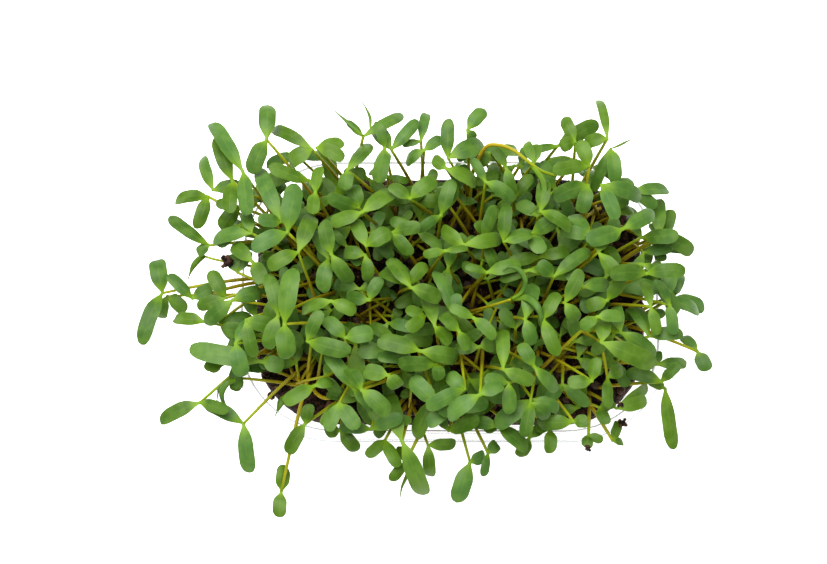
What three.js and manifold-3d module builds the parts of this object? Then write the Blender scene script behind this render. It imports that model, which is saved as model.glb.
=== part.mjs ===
// Potted yellow chard microgreens: a clear tub with rounded corners, the growing mix that fills it, and
// clusters of young seedlings. A chard seed is a corky cluster of several seeds, so each cluster here is one
// husk with a root below it and a few seedlings above, each a slim stem with a pair of long, arched leaves.
// Millimetres, +Z up, origin at the middle of the tub's flat base.
import * as THREE from "three";
import { mergeVertices } from "three/addons/utils/BufferGeometryUtils.js";
import Module from "manifold-3d";

// Tub
const RIM_WIDTH = 182;
const RIM_DEPTH = 124;
const RIM_CORNER = 44;
const TUB_HEIGHT = 48;
const FLANGE_REACH = 5;
const FLANGE_THICK = 1.2;
const FLANGE_EDGE_ROUND = 0.5;
const LIP_DROP = 3;
const LID_SEAT_DEPTH = 4.6;
const LID_SEAT_STEP = 1.4;
const LID_SEAT_SLOPE = 0.7;
const WALL_THICK = 1;
const WALL_DRAFT = Math.tan(THREE.MathUtils.degToRad(10));
const FOOT_ROUND = 2.2;
const CORNER_STEPS = 4;

// Growing mix
const MIX_TOP = 42;
const MIX_GAP = 0.4;
const MIX_SHOULDER_DROP = 7;
const MIX_CRUMB = 1;
const ABOVE_MIX = 0.6;
const MIX_RINGS = [13, 26, 41];
const SIDE_STEPS_LONG = 6;
const SIDE_STEPS_SHORT = 3;

// Seeds and stems
const CLUSTER_COUNT = 53;
const SEEDLINGS_PER_CLUSTER = 3;
const BED_HALF_WIDTH = 74;
const BED_HALF_DEPTH = 46.5;
const HUSK_RADIUS = 2.8;
const HUSK_SIDES = 5;
const ROOT_LENGTH = 13;
const SEED_Z = MIX_TOP - 0.4;
const STEM_SPREAD = 1.4;
const STEM_FOOT_RADIUS = 0.88;
const STEM_HEAD_RADIUS = 0.48;
const STEM_STEPS = 3;
const HOLE_CLEARANCE = 0.9;

// Leaves
const BLADE_THICK = 0.9;
const CROWN_THICK = 1.5;
const CROWN_WIDTH = 2;
const BLADE_STATIONS = [0.2, 0.48, 0.8];
const BLADE_TIP = { at: 0.98, share: 0.42 };
const FULL_FROM = 0.56;
const TIP_FROM = 0.62;
const TIP_SPAN = 0.39;

// What chance draws for a seedling: the least, and how much more there may be
const STEM_HEIGHT = [27, 21];
const SHORTER_AT_EDGE = 7;
const LEAN_AT_EDGE = [8, 18];
const LEAN_ANY_WAY = [4, 9];
const BLADE_LENGTH = [11.5, 9.5];
const BLADE_SHORTER = 0.35;
const BLADE_WIDTH_SHARE = [0.31, 0.07];
const BLADE_WIDTH_MOST = 6.6;
const BLADE_RISE = [5, 45];
const BLADE_DROOP = [25, 60];
const BLADE_ROLL = [-0.45, 0.9];
const SEEN_RISE = [4, 38];
const SEEN_DROOP = [28, 52];
const PAIR_TURN = [Math.PI - 0.6, 1.2];

// Joining leaves slivers: edges shorter than this are closed up
const SHORTEST_EDGE = 0.02;

// Room that a point on a seedling keeps round itself, so that no two seedlings cross
const STEM_ROOM = 1.05;
const BLADE_ROOM = 1.3;
const PROBE_STEP = 1.9;
const PROBE_LAST = 0.94;
const PROBES_ACROSS = [-0.85, 0, 0.85];
const PROBE_CELL = 3;
const SHARED_ROOT_HEIGHT = 9;
const MOST_TRIES = 120;
const NUDGE_MOST = 6;
const HIGHEST = 94;
const BED_PULL = 0.86;
const NEAREST_TRIED = 4;

// How the photograph, 827 pixels wide and 564 high, was taken: the pixel of the rim's middle, the focal length
// in pixels, how far the camera stood from the rim's middle and how steeply it looked down
const PHOTO_ACROSS = 448.9;
const PHOTO_DOWN = 293.4;
const PHOTO_FOCAL = 1379.3;
const PHOTO_DISTANCE = 575;
const PHOTO_TILT = THREE.MathUtils.degToRad(77);

// A seedling that the photograph shows: the pixel of its crown, the crown's height, and its two leaves, each
// with the pixel of its tip and its width
const seen = (across, down, height, ...leaves) => ({ across, down, height, leaves });
const tip = (across, down, wide) => ({ across, down, wide });
const SEEN = [
  seen(242, 171, 80, tip(208, 119, 6.4), tip(249, 215, 6.4)),
  seen(266, 139, 84, tip(269, 101, 6.4), tip(248, 173, 6.4)),
  seen(312, 149, 82, tip(272, 129, 4.8), tip(287, 163, 6.6)),
  seen(316, 147, 87, tip(344, 140, 5.6), tip(345, 156, 5)),
  seen(363, 136, 84, tip(406, 119, 4.6), tip(346, 121, 3.2)),
  seen(392, 147, 84, tip(420, 121, 4.8), tip(375, 131, 6.2)),
  seen(347, 170, 85, tip(373, 145, 6), tip(345, 190, 5.6)),
  seen(424, 150, 83, tip(404, 161, 5.4), tip(443, 138, 4.8)),
  seen(421, 141, 78, tip(425, 110, 4), tip(402, 146, 3)),
  seen(448, 158, 86, tip(445, 118, 5), tip(485, 145, 6.8)),
  seen(467, 130, 82, tip(484, 107, 5.4), tip(474, 141, 4.2)),
  seen(487, 149, 81, tip(522, 156, 5.4), tip(478, 166, 5)),
  seen(532, 160, 78, tip(524, 143, 3.8), tip(536, 144, 4)),
  seen(575, 142, 84, tip(561, 117, 4.8), tip(559, 146, 5.2)),
  seen(589, 166, 86, tip(579, 141, 5.4), tip(552, 172, 5.2)),
  seen(607, 139, 84, tip(599, 99, 3.6), tip(583, 143, 5)),
  seen(610, 149, 79, tip(617, 183, 5.4), tip(592, 190, 4.6)),
  seen(633, 192, 74, tip(667, 190, 6), tip(656, 207, 4.8)),
  seen(658, 236, 68, tip(657, 199, 5.4), tip(693, 252, 5.8)),
  seen(662, 237, 63, tip(673, 210, 5.2), tip(649, 224, 4.2)),
  seen(656, 247, 60, tip(688, 249, 4.8), tip(660, 262, 4.6)),
  seen(641, 264, 72, tip(622, 277, 5.2), tip(665, 276, 4.6)),
  seen(662, 299, 62, tip(672, 267, 6.4), tip(700, 311, 5.8)),
  seen(671, 299, 57, tip(703, 307, 6), tip(683, 271, 5)),
  seen(696, 351, 52, tip(705, 371, 5.6), tip(681, 335, 4.4)),
  seen(648, 336, 72, tip(633, 303, 5.8), tip(681, 330, 5)),
  seen(656, 364, 60, tip(685, 364, 4.8), tip(655, 351, 4.4)),
  seen(664, 388, 50, tip(668, 450, 6.2), tip(648, 379, 4.4)),
  seen(616, 408, 62, tip(646, 402, 5), tip(647, 389, 4.2)),
  seen(612, 440, 52, tip(620, 421, 4.2), tip(622, 441, 3.4)),
  seen(588, 434, 60, tip(585, 447, 4.2), tip(602, 441, 3.4)),
  seen(550, 429, 64, tip(551, 453, 4.8), tip(535, 424, 5.2)),
  seen(531, 434, 60, tip(521, 458, 5), tip(546, 424, 4.6)),
  seen(498, 426, 70, tip(528, 446, 6), tip(468, 420, 5)),
  seen(470, 462, 54, tip(457, 503, 6.8), tip(486, 456, 4.8)),
  seen(488, 453, 56, tip(484, 477, 3.4), tip(498, 443, 4.6)),
  seen(428, 445, 58, tip(431, 478, 4.8), tip(457, 445, 4.6)),
  seen(402, 441, 68, tip(386, 393, 7), tip(425, 496, 7)),
  seen(385, 440, 60, tip(368, 458, 4.4), tip(397, 468, 4.8)),
  seen(410, 462, 55, tip(392, 482, 4.2), tip(401, 446, 4)),
  seen(340, 430, 62, tip(357, 453, 5.2), tip(325, 433, 5)),
  seen(305, 424, 60, tip(285, 453, 5.4), tip(308, 404, 4.8)),
  seen(281, 492, 42, tip(287, 467, 5.6), tip(278, 518, 5.2)),
  seen(243, 424, 52, tip(251, 474, 6.4), tip(206, 402, 5.6)),
  seen(199, 403, 54, tip(158, 419, 5.8), tip(228, 411, 4.8)),
  seen(262, 362, 66, tip(187, 353, 7.4), tip(284, 367, 6)),
  seen(232, 366, 58, tip(238, 389, 4.8), tip(266, 369, 4.8)),
  seen(161, 293, 54, tip(159, 257, 7), tip(138, 344, 6.2)),
  seen(191, 299, 58, tip(168, 274, 4.8), tip(212, 289, 5)),
  seen(204, 322, 62, tip(174, 319, 5.6), tip(226, 310, 5)),
  seen(166, 296, 50, tip(186, 311, 5.8), tip(157, 320, 5)),
  seen(219, 321, 58, tip(246, 347, 5), tip(252, 314, 6)),
  seen(232, 300, 72, tip(206, 325, 6), tip(262, 290, 5.6)),
  seen(225, 298, 66, tip(209, 270, 5.4), tip(196, 307, 5)),
  seen(208, 245, 62, tip(164, 220, 5.4), tip(196, 254, 4.6)),
  seen(207, 196, 68, tip(174, 198, 6), tip(200, 229, 5.2)),
  seen(211, 189, 71, tip(198, 155, 5.2), tip(240, 183, 5)),
  seen(232, 181, 76, tip(212, 137, 6), tip(226, 212, 5.6)),
  seen(251, 233, 77, tip(211, 236, 5.6), tip(246, 212, 4.8)),
  seen(240, 208, 70, tip(218, 229, 6), tip(214, 204, 4.6)),
  seen(252, 262, 77, tip(232, 244, 5.4), tip(265, 282, 5.8)),
  seen(236, 272, 66, tip(230, 254, 5), tip(248, 250, 4.4)),
  seen(281, 222, 85, tip(258, 170, 6), tip(257, 220, 5)),
  seen(309, 180, 80, tip(267, 170, 5.8), tip(322, 190, 5)),
  seen(249, 318, 81, tip(273, 328, 6), tip(251, 359, 4.8)),
  seen(287, 232, 87, tip(297, 184, 7), tip(250, 247, 6.2)),
  seen(292, 249, 82, tip(316, 214, 6), tip(267, 267, 5.4)),
  seen(331, 254, 88, tip(321, 221, 5.6), tip(348, 284, 5.4)),
  seen(329, 259, 83, tip(319, 292, 5.8), tip(313, 231, 4.8)),
  seen(362, 212, 88, tip(329, 225, 5.8), tip(396, 189, 6.4)),
  seen(361, 205, 81, tip(353, 183, 5.8), tip(326, 201, 5.2)),
  seen(315, 192, 85, tip(317, 167, 4.8), tip(311, 214, 4.8)),
  seen(366, 246, 86, tip(354, 219, 5), tip(391, 230, 6)),
  seen(365, 255, 81, tip(342, 251, 5), tip(371, 284, 4.8)),
  seen(322, 268, 79, tip(296, 265, 4.8), tip(302, 297, 5.4)),
  seen(284, 324, 88, tip(291, 266, 7.2), tip(288, 360, 6.8)),
  seen(276, 314, 83, tip(272, 272, 5.2), tip(266, 350, 5.6)),
  seen(331, 301, 86, tip(301, 310, 5.2), tip(357, 312, 5)),
  seen(369, 300, 82, tip(346, 299, 5), tip(378, 276, 4.6)),
  seen(393, 232, 85, tip(421, 225, 5), tip(409, 257, 5)),
  seen(411, 197, 86, tip(435, 178, 5.8), tip(391, 183, 5)),
  seen(424, 202, 83, tip(397, 205, 4.8), tip(438, 213, 5)),
  seen(450, 207, 79, tip(455, 180, 4.8), tip(437, 186, 4.4)),
  seen(450, 166, 83, tip(478, 183, 6), tip(432, 160, 4.6)),
  seen(464, 245, 86, tip(503, 243, 5.4), tip(438, 232, 5.4)),
  seen(485, 239, 82, tip(494, 203, 5), tip(500, 277, 5)),
  seen(503, 241, 87, tip(503, 204, 5), tip(530, 231, 6)),
  seen(479, 252, 78, tip(456, 268, 5.2), tip(470, 224, 4.4)),
  seen(531, 234, 83, tip(562, 218, 5.8), tip(541, 254, 5.6)),
  seen(541, 213, 88, tip(573, 227, 5.2), tip(544, 178, 5.4)),
  seen(537, 216, 80, tip(519, 202, 5.4), tip(556, 198, 5)),
  seen(411, 288, 90, tip(443, 297, 5.6), tip(389, 257, 5.8)),
  seen(408, 285, 85, tip(384, 270, 5.8), tip(425, 262, 4.8)),
  seen(456, 318, 83, tip(454, 293, 4.6), tip(441, 268, 5.2)),
  seen(525, 319, 84, tip(534, 283, 5.8), tip(534, 344, 5.2)),
  seen(543, 319, 86, tip(557, 291, 5.2), tip(554, 357, 5)),
  seen(586, 185, 84, tip(551, 194, 6), tip(581, 214, 5.4)),
  seen(601, 185, 88, tip(617, 220, 5.4), tip(641, 199, 5.8)),
  seen(622, 229, 85, tip(655, 216, 5.8), tip(588, 245, 6.6)),
  seen(590, 237, 82, tip(571, 215, 5.4), tip(560, 233, 5)),
  seen(554, 277, 85, tip(588, 248, 4.8), tip(538, 262, 5)),
  seen(592, 256, 84, tip(621, 285, 5.2), tip(600, 240, 4.8)),
  seen(562, 300, 87, tip(583, 271, 5), tip(578, 323, 5.2)),
  seen(583, 287, 81, tip(609, 284, 5), tip(563, 269, 5)),
  seen(607, 300, 78, tip(622, 279, 5), tip(585, 308, 5)),
  seen(307, 341, 87, tip(318, 309, 4.8), tip(349, 357, 6.2)),
  seen(345, 338, 84, tip(374, 332, 6), tip(326, 317, 5.4)),
  seen(354, 389, 83, tip(329, 350, 5.4), tip(375, 408, 5.2)),
  seen(360, 393, 87, tip(350, 368, 5.4), tip(391, 412, 6)),
  seen(388, 375, 86, tip(363, 371, 6.2), tip(399, 389, 5.4)),
  seen(314, 386, 80, tip(284, 405, 5.2), tip(334, 380, 4.8)),
  seen(339, 403, 77, tip(326, 431, 5.2), tip(358, 429, 5.6)),
  seen(420, 351, 89, tip(379, 336, 6.4), tip(461, 361, 6)),
  seen(413, 358, 82, tip(378, 352, 5.4), tip(434, 364, 5.4)),
  seen(435, 326, 86, tip(427, 297, 5.4), tip(452, 343, 5.6)),
  seen(425, 316, 81, tip(406, 308, 5), tip(408, 332, 4.8)),
  seen(459, 331, 88, tip(440, 313, 5.6), tip(470, 350, 4.8)),
  seen(474, 352, 83, tip(453, 348, 5), tip(497, 343, 5.4)),
  seen(503, 369, 88, tip(502, 326, 5), tip(534, 384, 5)),
  seen(437, 363, 86, tip(397, 366, 5.6), tip(440, 380, 4.8)),
  seen(441, 400, 83, tip(409, 378, 6.2), tip(452, 415, 5)),
  seen(474, 397, 88, tip(444, 415, 6.2), tip(502, 382, 5.6)),
  seen(462, 392, 83, tip(425, 408, 5.4), tip(446, 375, 5.4)),
  seen(505, 384, 84, tip(511, 413, 5.2), tip(484, 378, 4.8)),
  seen(537, 394, 87, tip(514, 385, 5.4), tip(570, 411, 6)),
  seen(530, 402, 79, tip(526, 437, 5), tip(549, 418, 4.8)),
  seen(573, 421, 70, tip(536, 426, 5.6), tip(588, 420, 4.8)),
  seen(534, 366, 84, tip(520, 342, 4.8), tip(556, 391, 5.6)),
  seen(482, 381, 80, tip(488, 357, 5), tip(461, 366, 5)),
  seen(601, 342, 87, tip(651, 368, 7), tip(603, 319, 5.4)),
  seen(591, 314, 86, tip(621, 315, 5), tip(579, 328, 4.8)),
  seen(620, 332, 81, tip(657, 355, 6), tip(612, 306, 5)),
  seen(590, 382, 80, tip(594, 357, 4.8), tip(567, 384, 4.8)),
  seen(604, 380, 74, tip(606, 408, 4.4), tip(623, 368, 4.8)),
];

// Openings among the leaves, where the photograph shows stems and mix: the middle's pixel and the radius
const opening = (across, down, radius) => ({ across, down, radius });
const OPENINGS = [
  opening(262, 214, 8),
  opening(262, 254, 9),
  opening(309, 245, 10),
  opening(357, 238, 9),
  opening(374, 216, 8),
  opening(410, 246, 13),
  opening(433, 269, 9),
  opening(470, 213, 22),
  opening(521, 216, 12),
  opening(470, 288, 18),
  opening(497, 304, 19),
  opening(526, 300, 9),
  opening(595, 214, 11),
  opening(632, 246, 9),
  opening(372, 306, 15),
  opening(514, 346, 10),
  opening(560, 360, 15),
  opening(626, 344, 9),
  opening(300, 385, 16),
  opening(276, 390, 14),
  opening(580, 396, 14),
  opening(409, 408, 8),
  opening(258, 350, 7),
  opening(588, 348, 8),
  opening(345, 308, 4),
];

const TAU = Math.PI * 2;
const UP = new THREE.Vector3(0, 0, 1);
const radians = THREE.MathUtils.degToRad;

// What joins and cuts the solids.
const wasm = await Module();
wasm.setup();

// A closed three.js geometry as a solid that can be joined and cut.
function solidOf(geometry) {
  const bare = geometry.clone();
  bare.deleteAttribute("normal");
  bare.deleteAttribute("uv");
  const merged = mergeVertices(bare, 1e-4);
  const vertProperties = new Float32Array(merged.attributes.position.array);
  const triVerts = new Uint32Array(merged.index.array);
  return new wasm.Manifold(new wasm.Mesh({ numProp: 3, vertProperties, triVerts }));
}

// A joined or cut solid as a three.js geometry.
function geometryOf(solid) {
  const mesh = solid.getMesh();
  const geometry = new THREE.BufferGeometry();
  geometry.setAttribute("position", new THREE.BufferAttribute(mesh.vertProperties, 3));
  geometry.setIndex(new THREE.BufferAttribute(mesh.triVerts, 1));
  geometry.computeVertexNormals();
  return geometry;
}

// A closed skin over rings of equally many points, with both ends capped. Rings run anticlockwise seen from
// the end that the skin grows towards.
function loft(rings) {
  const count = rings[0].length;
  const faces = [];
  for (let ring = 0; ring + 1 < rings.length; ring++) {
    for (let i = 0; i < count; i++) {
      const a = ring * count + i;
      const b = ring * count + ((i + 1) % count);
      faces.push(a, b, b + count, a, b + count, a + count);
    }
  }
  const top = (rings.length - 1) * count;
  endCap(rings[0]).forEach(([a, b, c]) => faces.push(a, c, b));
  endCap(rings.at(-1)).forEach(([a, b, c]) => faces.push(top + a, top + b, top + c));
  const geometry = new THREE.BufferGeometry().setFromPoints(rings.flat());
  geometry.setIndex(faces);
  return geometry;
}

function endCap(ring) {
  if (ring.length === 3) return [[0, 1, 2]];
  return THREE.ShapeUtils.triangulateShape(ring.map((p) => new THREE.Vector2(p.x, p.y)), []);
}

// The rim's rounded rectangle, moved inwards by inset, at one height.
function outline(inset, height, longSteps = 1, shortSteps = 1) {
  const corner = Math.max(RIM_CORNER - inset, 1);
  const halfWidth = RIM_WIDTH / 2 - inset - corner;
  const halfDepth = RIM_DEPTH / 2 - inset - corner;
  const points = [];
  for (let quarter = 0; quarter < 4; quarter++) {
    const centre = new THREE.Vector2(
      halfWidth * (quarter === 0 || quarter === 3 ? 1 : -1),
      halfDepth * (quarter < 2 ? 1 : -1),
    );
    for (let i = 0; i <= CORNER_STEPS; i++) {
      const angle = ((quarter + i / CORNER_STEPS) * TAU) / 4;
      const x = centre.x + corner * Math.cos(angle);
      const y = centre.y + corner * Math.sin(angle);
      points.push(new THREE.Vector3(x, y, height));
    }
    const steps = quarter % 2 === 0 ? longSteps : shortSteps;
    const start = points.at(-1);
    const along = new THREE.Vector3(-2 * Math.abs(centre.x), 0, 0);
    if (quarter % 2 === 1) along.set(0, -2 * Math.abs(centre.y), 0);
    if (quarter > 1) along.negate();
    for (let i = 1; i < steps; i++) {
      points.push(start.clone().addScaledVector(along, i / steps));
    }
  }
  return points;
}

// How far a place is outside the rim's outer edge, or inside it if negative.
function beyondRim(x, y) {
  const qx = Math.abs(x) - (RIM_WIDTH / 2 - RIM_CORNER);
  const qy = Math.abs(y) - (RIM_DEPTH / 2 - RIM_CORNER);
  const outer = Math.hypot(Math.max(qx, 0), Math.max(qy, 0));
  return outer + Math.min(Math.max(qx, qy), 0) - RIM_CORNER;
}

const LEDGE_INSET = FLANGE_REACH + LID_SEAT_STEP;
const LEDGE_HEIGHT = TUB_HEIGHT - LID_SEAT_DEPTH;

function wallInset(height) {
  return LEDGE_INSET + (LEDGE_HEIGHT - height) * WALL_DRAFT;
}

// The tub: one shell from the middle of its foot, up its outside, over the flange and down to its floor.
function tub() {
  const wall = WALL_THICK;
  const under = TUB_HEIGHT - FLANGE_THICK;
  const foot = wallInset(FOOT_ROUND) - wall;
  const profile = [
    [foot + FOOT_ROUND, 0],
    [foot, FOOT_ROUND],
    [LEDGE_INSET - wall, LEDGE_HEIGHT - LID_SEAT_SLOPE],
    [FLANGE_REACH - wall, LEDGE_HEIGHT],
    [FLANGE_REACH - wall, under],
    [wall, under],
    [wall, TUB_HEIGHT - LIP_DROP],
    [0, TUB_HEIGHT - LIP_DROP],
    [0, TUB_HEIGHT - FLANGE_EDGE_ROUND],
    [FLANGE_EDGE_ROUND, TUB_HEIGHT],
    [FLANGE_REACH, TUB_HEIGHT],
    [FLANGE_REACH, LEDGE_HEIGHT + LID_SEAT_SLOPE],
    [LEDGE_INSET, LEDGE_HEIGHT],
    [wallInset(FOOT_ROUND + wall), FOOT_ROUND + wall],
    [wallInset(FOOT_ROUND + wall) + FOOT_ROUND, wall],
  ];
  return loft(profile.map(([inset, height]) => outline(inset, height)));
}

// The growing mix: a block that follows the tub's wall, with a crumbled shoulder and an uneven top.
function growingMix() {
  const random = seeded(5);
  const heel = FOOT_ROUND + WALL_THICK;
  const heelInset = wallInset(heel) + 1.5 * MIX_GAP;
  const shoulder = MIX_TOP - MIX_SHOULDER_DROP;
  const shoulderInset = wallInset(shoulder) + MIX_GAP;
  const profile = [
    [heelInset + FOOT_ROUND, WALL_THICK + MIX_GAP, 0],
    [heelInset, heel, 0],
    [shoulderInset, shoulder, 0],
    [shoulderInset + 1, MIX_TOP - 2.6, 1],
    [shoulderInset + 2.8, MIX_TOP - 0.4, 1],
    ...MIX_RINGS.map((inwards) => [shoulderInset + inwards, MIX_TOP, 1]),
  ];
  const rings = profile.map(([inset, height, crumbs]) => {
    const ring = outline(inset, height, SIDE_STEPS_LONG, SIDE_STEPS_SHORT);
    ring.forEach((p) => (p.z += crumbs * MIX_CRUMB * (2 * random() - 1)));
    return ring;
  });
  return loft(rings);
}

// Random numbers from 0 to 1 that are the same for the same seed.
function seeded(seed) {
  let state = 1 + (seed % 2147483646);
  const next = () => {
    state = (state * 48271) % 2147483647;
    return state / 2147483647;
  };
  next();
  next();
  return next;
}

// Where the seeds lie: an even spiral, drawn out from a circle towards the bed's rounded rectangle.
function seedSpots() {
  return Array.from({ length: CLUSTER_COUNT }, (_, index) => {
    const turn = index * Math.PI * (3 - Math.sqrt(5));
    const reach = Math.sqrt((index + 0.5) / CLUSTER_COUNT);
    const square = (Math.cos(turn) ** 4 + Math.sin(turn) ** 4) ** -0.25;
    const x = BED_HALF_WIDTH * reach * square * Math.cos(turn);
    const y = BED_HALF_DEPTH * reach * square * Math.sin(turn);
    return { index, x, y, reach, seedlings: [] };
  });
}

// Where a cluster's next seedling starts in the husk: they are spread round its middle.
function stemFoot(spot) {
  const turn = (TAU * spot.seedlings.length) / SEEDLINGS_PER_CLUSTER + spot.index;
  const x = spot.x + STEM_SPREAD * Math.cos(turn);
  const y = spot.y + STEM_SPREAD * Math.sin(turn);
  return new THREE.Vector3(x, y, SEED_Z);
}

// One seedling as drawn by chance: those near the wall lean out over the rim.
function chanceSeedling(spot, attempt) {
  const member = spot.seedlings.length;
  const random = seeded(spot.index * 7919 + member * 1013 + attempt * 131 + 17);
  const draw = ([least, more], bias = 1) => least + more * random() ** bias;
  const edge = spot.reach ** 2;
  const away = Math.atan2(spot.y, spot.x);
  const scatter = (TAU * (member + random())) / SEEDLINGS_PER_CLUSTER + spot.index;
  const outwards = edge * draw(LEAN_AT_EDGE);
  const sideways = draw(LEAN_ANY_WAY);
  const height = draw(STEM_HEIGHT) - SHORTER_AT_EDGE * edge * random();
  const crown = new THREE.Vector3(
    spot.x + outwards * Math.cos(away) + sideways * Math.cos(scatter),
    spot.y + outwards * Math.sin(away) + sideways * Math.sin(scatter),
    MIX_TOP + height,
  );
  const facing = TAU * random();
  const shrink = 1 - (BLADE_SHORTER * attempt) / MOST_TRIES;
  const leaves = [0, draw(PAIR_TURN)].map((turn) => {
    const long = draw(BLADE_LENGTH, 1.4) * shrink;
    return {
      towards: facing + turn,
      rise: radians(draw(BLADE_RISE)),
      droop: radians(draw(BLADE_DROOP)),
      long,
      wide: Math.min(long * draw(BLADE_WIDTH_SHARE), BLADE_WIDTH_MOST),
      roll: draw(BLADE_ROLL),
    };
  });
  return { spot, foot: stemFoot(spot), crown, lift: 0.42 * height, sag: 0.26 * height, leaves, byChance: true };
}

// The place that a pixel of the photograph shows, at a height.
function placeAt(across, down, height) {
  const above = height - TUB_HEIGHT;
  const lower = (PHOTO_DOWN - down) / PHOTO_FOCAL;
  const far = PHOTO_DISTANCE - Math.sin(PHOTO_TILT) * above;
  const y = (lower * far - Math.cos(PHOTO_TILT) * above) / (Math.sin(PHOTO_TILT) - lower * Math.cos(PHOTO_TILT));
  const x = ((across - PHOTO_ACROSS) / PHOTO_FOCAL) * (far + Math.cos(PHOTO_TILT) * y);
  return new THREE.Vector3(x, y, height);
}

// True if a place would hide one of the openings among the leaves.
function hidesOpening({ x, y, z }) {
  const above = z - TUB_HEIGHT;
  const far = PHOTO_DISTANCE - Math.sin(PHOTO_TILT) * above + Math.cos(PHOTO_TILT) * y;
  const across = PHOTO_ACROSS + (PHOTO_FOCAL * x) / far;
  const down = PHOTO_DOWN - (PHOTO_FOCAL * (Math.sin(PHOTO_TILT) * y + Math.cos(PHOTO_TILT) * above)) / far;
  return OPENINGS.some((open) => Math.hypot(across - open.across, down - open.down) < open.radius);
}

// A leaf from a crown to a tip that the photograph shows: its length follows from its rise and droop.
function leafToTip(crown, end, rise, droop, roll) {
  const reach = (Math.sin(rise) - Math.sin(rise - droop)) / droop;
  const climb = (Math.cos(rise - droop) - Math.cos(rise)) / droop;
  let gone = placeAt(end.across, end.down, crown.z).sub(crown);
  for (let round = 0; round < 3; round++) {
    const height = crown.z + (climb / reach) * Math.hypot(gone.x, gone.y);
    gone = placeAt(end.across, end.down, height).sub(crown);
  }
  const long = Math.hypot(gone.x, gone.y) / reach;
  return { towards: Math.atan2(gone.y, gone.x), rise, droop, long, wide: end.wide, roll };
}

// A seedling that the photograph shows. Its leaves bend as chance draws, and its crown is moved a little
// further from its place with each attempt.
function seenSeedling(spot, sprig, attempt) {
  const random = seeded(sprig.across * 577 + sprig.down * 641 + attempt * 97 + 5);
  const draw = ([least, more]) => least + more * random();
  const nudge = () => (attempt * NUDGE_MOST * (2 * random() - 1)) / MOST_TRIES;
  const crown = placeAt(sprig.across, sprig.down, sprig.height + nudge());
  crown.x += nudge() / 2;
  crown.y += nudge() / 2;
  const leaves = sprig.leaves.map((end) =>
    leafToTip(crown, end, radians(draw(SEEN_RISE)), radians(draw(SEEN_DROOP)), draw(BLADE_ROLL)),
  );
  const foot = stemFoot(spot);
  const gone = Math.hypot(crown.x - foot.x, crown.y - foot.y);
  const height = crown.z - foot.z;
  const lift = 0.42 * Math.max(height, gone);
  const sag = 0.26 * height - 0.15 * Math.max(0, gone - 12);
  return { spot, foot, crown, lift, sag, leaves };
}

// The stem's line lies in one upright plane. It starts steeply at its foot and comes to the crown from a
// point that is lower by its sag, or higher where the stem hangs.
function stemPoints({ foot, crown, lift, sag }) {
  const gone = crown.clone().sub(foot);
  const low = new THREE.Vector3(foot.x + 0.14 * gone.x, foot.y + 0.14 * gone.y, foot.z + lift);
  const high = new THREE.Vector3(crown.x - 0.34 * gone.x, crown.y - 0.34 * gone.y, crown.z - sag);
  return [foot, low, high, crown];
}

// The place and heading of a stem at a share of its way.
function stemFrame(seedling, share) {
  const [a, b, c, d] = stemPoints(seedling);
  const at = new THREE.Vector3();
  const along = new THREE.Vector3();
  const rest = 1 - share;
  const middle = 2 * rest * share;
  const placing = [rest ** 3, 1.5 * middle * rest, 1.5 * middle * share, share ** 3];
  const heading = [-(rest ** 2), rest ** 2 - middle, middle - share ** 2, share ** 2];
  [a, b, c, d].forEach((point, i) => {
    at.addScaledVector(point, placing[i]);
    along.addScaledVector(point, heading[i]);
  });
  along.normalize();
  const side = new THREE.Vector3(a.y - d.y, d.x - a.x, 0).normalize();
  return { at, side, front: along.cross(side) };
}

// A leaf's frame at a share of its length: it leaves the crown at its rise and bends evenly by its droop.
function leafFrame({ crown }, leaf, share) {
  const ahead = new THREE.Vector3(Math.cos(leaf.towards), Math.sin(leaf.towards), 0);
  const across = new THREE.Vector3().crossVectors(UP, ahead);
  const slope = leaf.rise - leaf.droop * share;
  const bend = leaf.long / leaf.droop;
  const at = crown.clone();
  at.addScaledVector(ahead, bend * (Math.sin(leaf.rise) - Math.sin(slope)));
  at.addScaledVector(UP, bend * (Math.cos(slope) - Math.cos(leaf.rise)));
  const along = ahead.clone().multiplyScalar(Math.cos(slope)).addScaledVector(UP, Math.sin(slope));
  const side = across.applyAxisAngle(along, leaf.roll * Math.min(1, 4 * share));
  const top = new THREE.Vector3().crossVectors(along, side);
  return { at, side, top };
}

// A blade's width at a share of its length, as a share of the widest: a slow start, then full, then round.
function bladeWidth(share) {
  if (share > TIP_FROM) return Math.sqrt(Math.max(0, 1 - ((share - TIP_FROM) / TIP_SPAN) ** 2));
  return Math.sin((Math.PI / 2) * Math.min(1, share / FULL_FROM)) ** 1.15;
}

// Both blades of a pair as one band from tip to tip through the crown, flat on top with a low keel below.
function leafPair(seedling) {
  const ring = (leaf, share, width, sign) => {
    const { at, side, top } = leafFrame(seedling, leaf, share);
    const half = (sign * width) / 2;
    const keel = at.clone().addScaledVector(top, -BLADE_THICK);
    return [at.clone().addScaledVector(side, -half), keel, at.clone().addScaledVector(side, half)];
  };
  const rings = (leaf, sign) => [
    ...BLADE_STATIONS.map((share) => ring(leaf, share, leaf.wide * bladeWidth(share), sign)),
    ring(leaf, BLADE_TIP.at, leaf.wide * BLADE_TIP.share, sign),
  ];
  const [first, second] = seedling.leaves;
  const side = leafFrame(seedling, second, 0).side.sub(leafFrame(seedling, first, 0).side).normalize();
  const crown = seedling.crown;
  const middle = [
    crown.clone().addScaledVector(side, -CROWN_WIDTH / 2),
    crown.clone().addScaledVector(UP, -CROWN_THICK),
    crown.clone().addScaledVector(side, CROWN_WIDTH / 2),
  ];
  return loft([...rings(first, -1).reverse(), middle, ...rings(second, 1)]);
}

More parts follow.
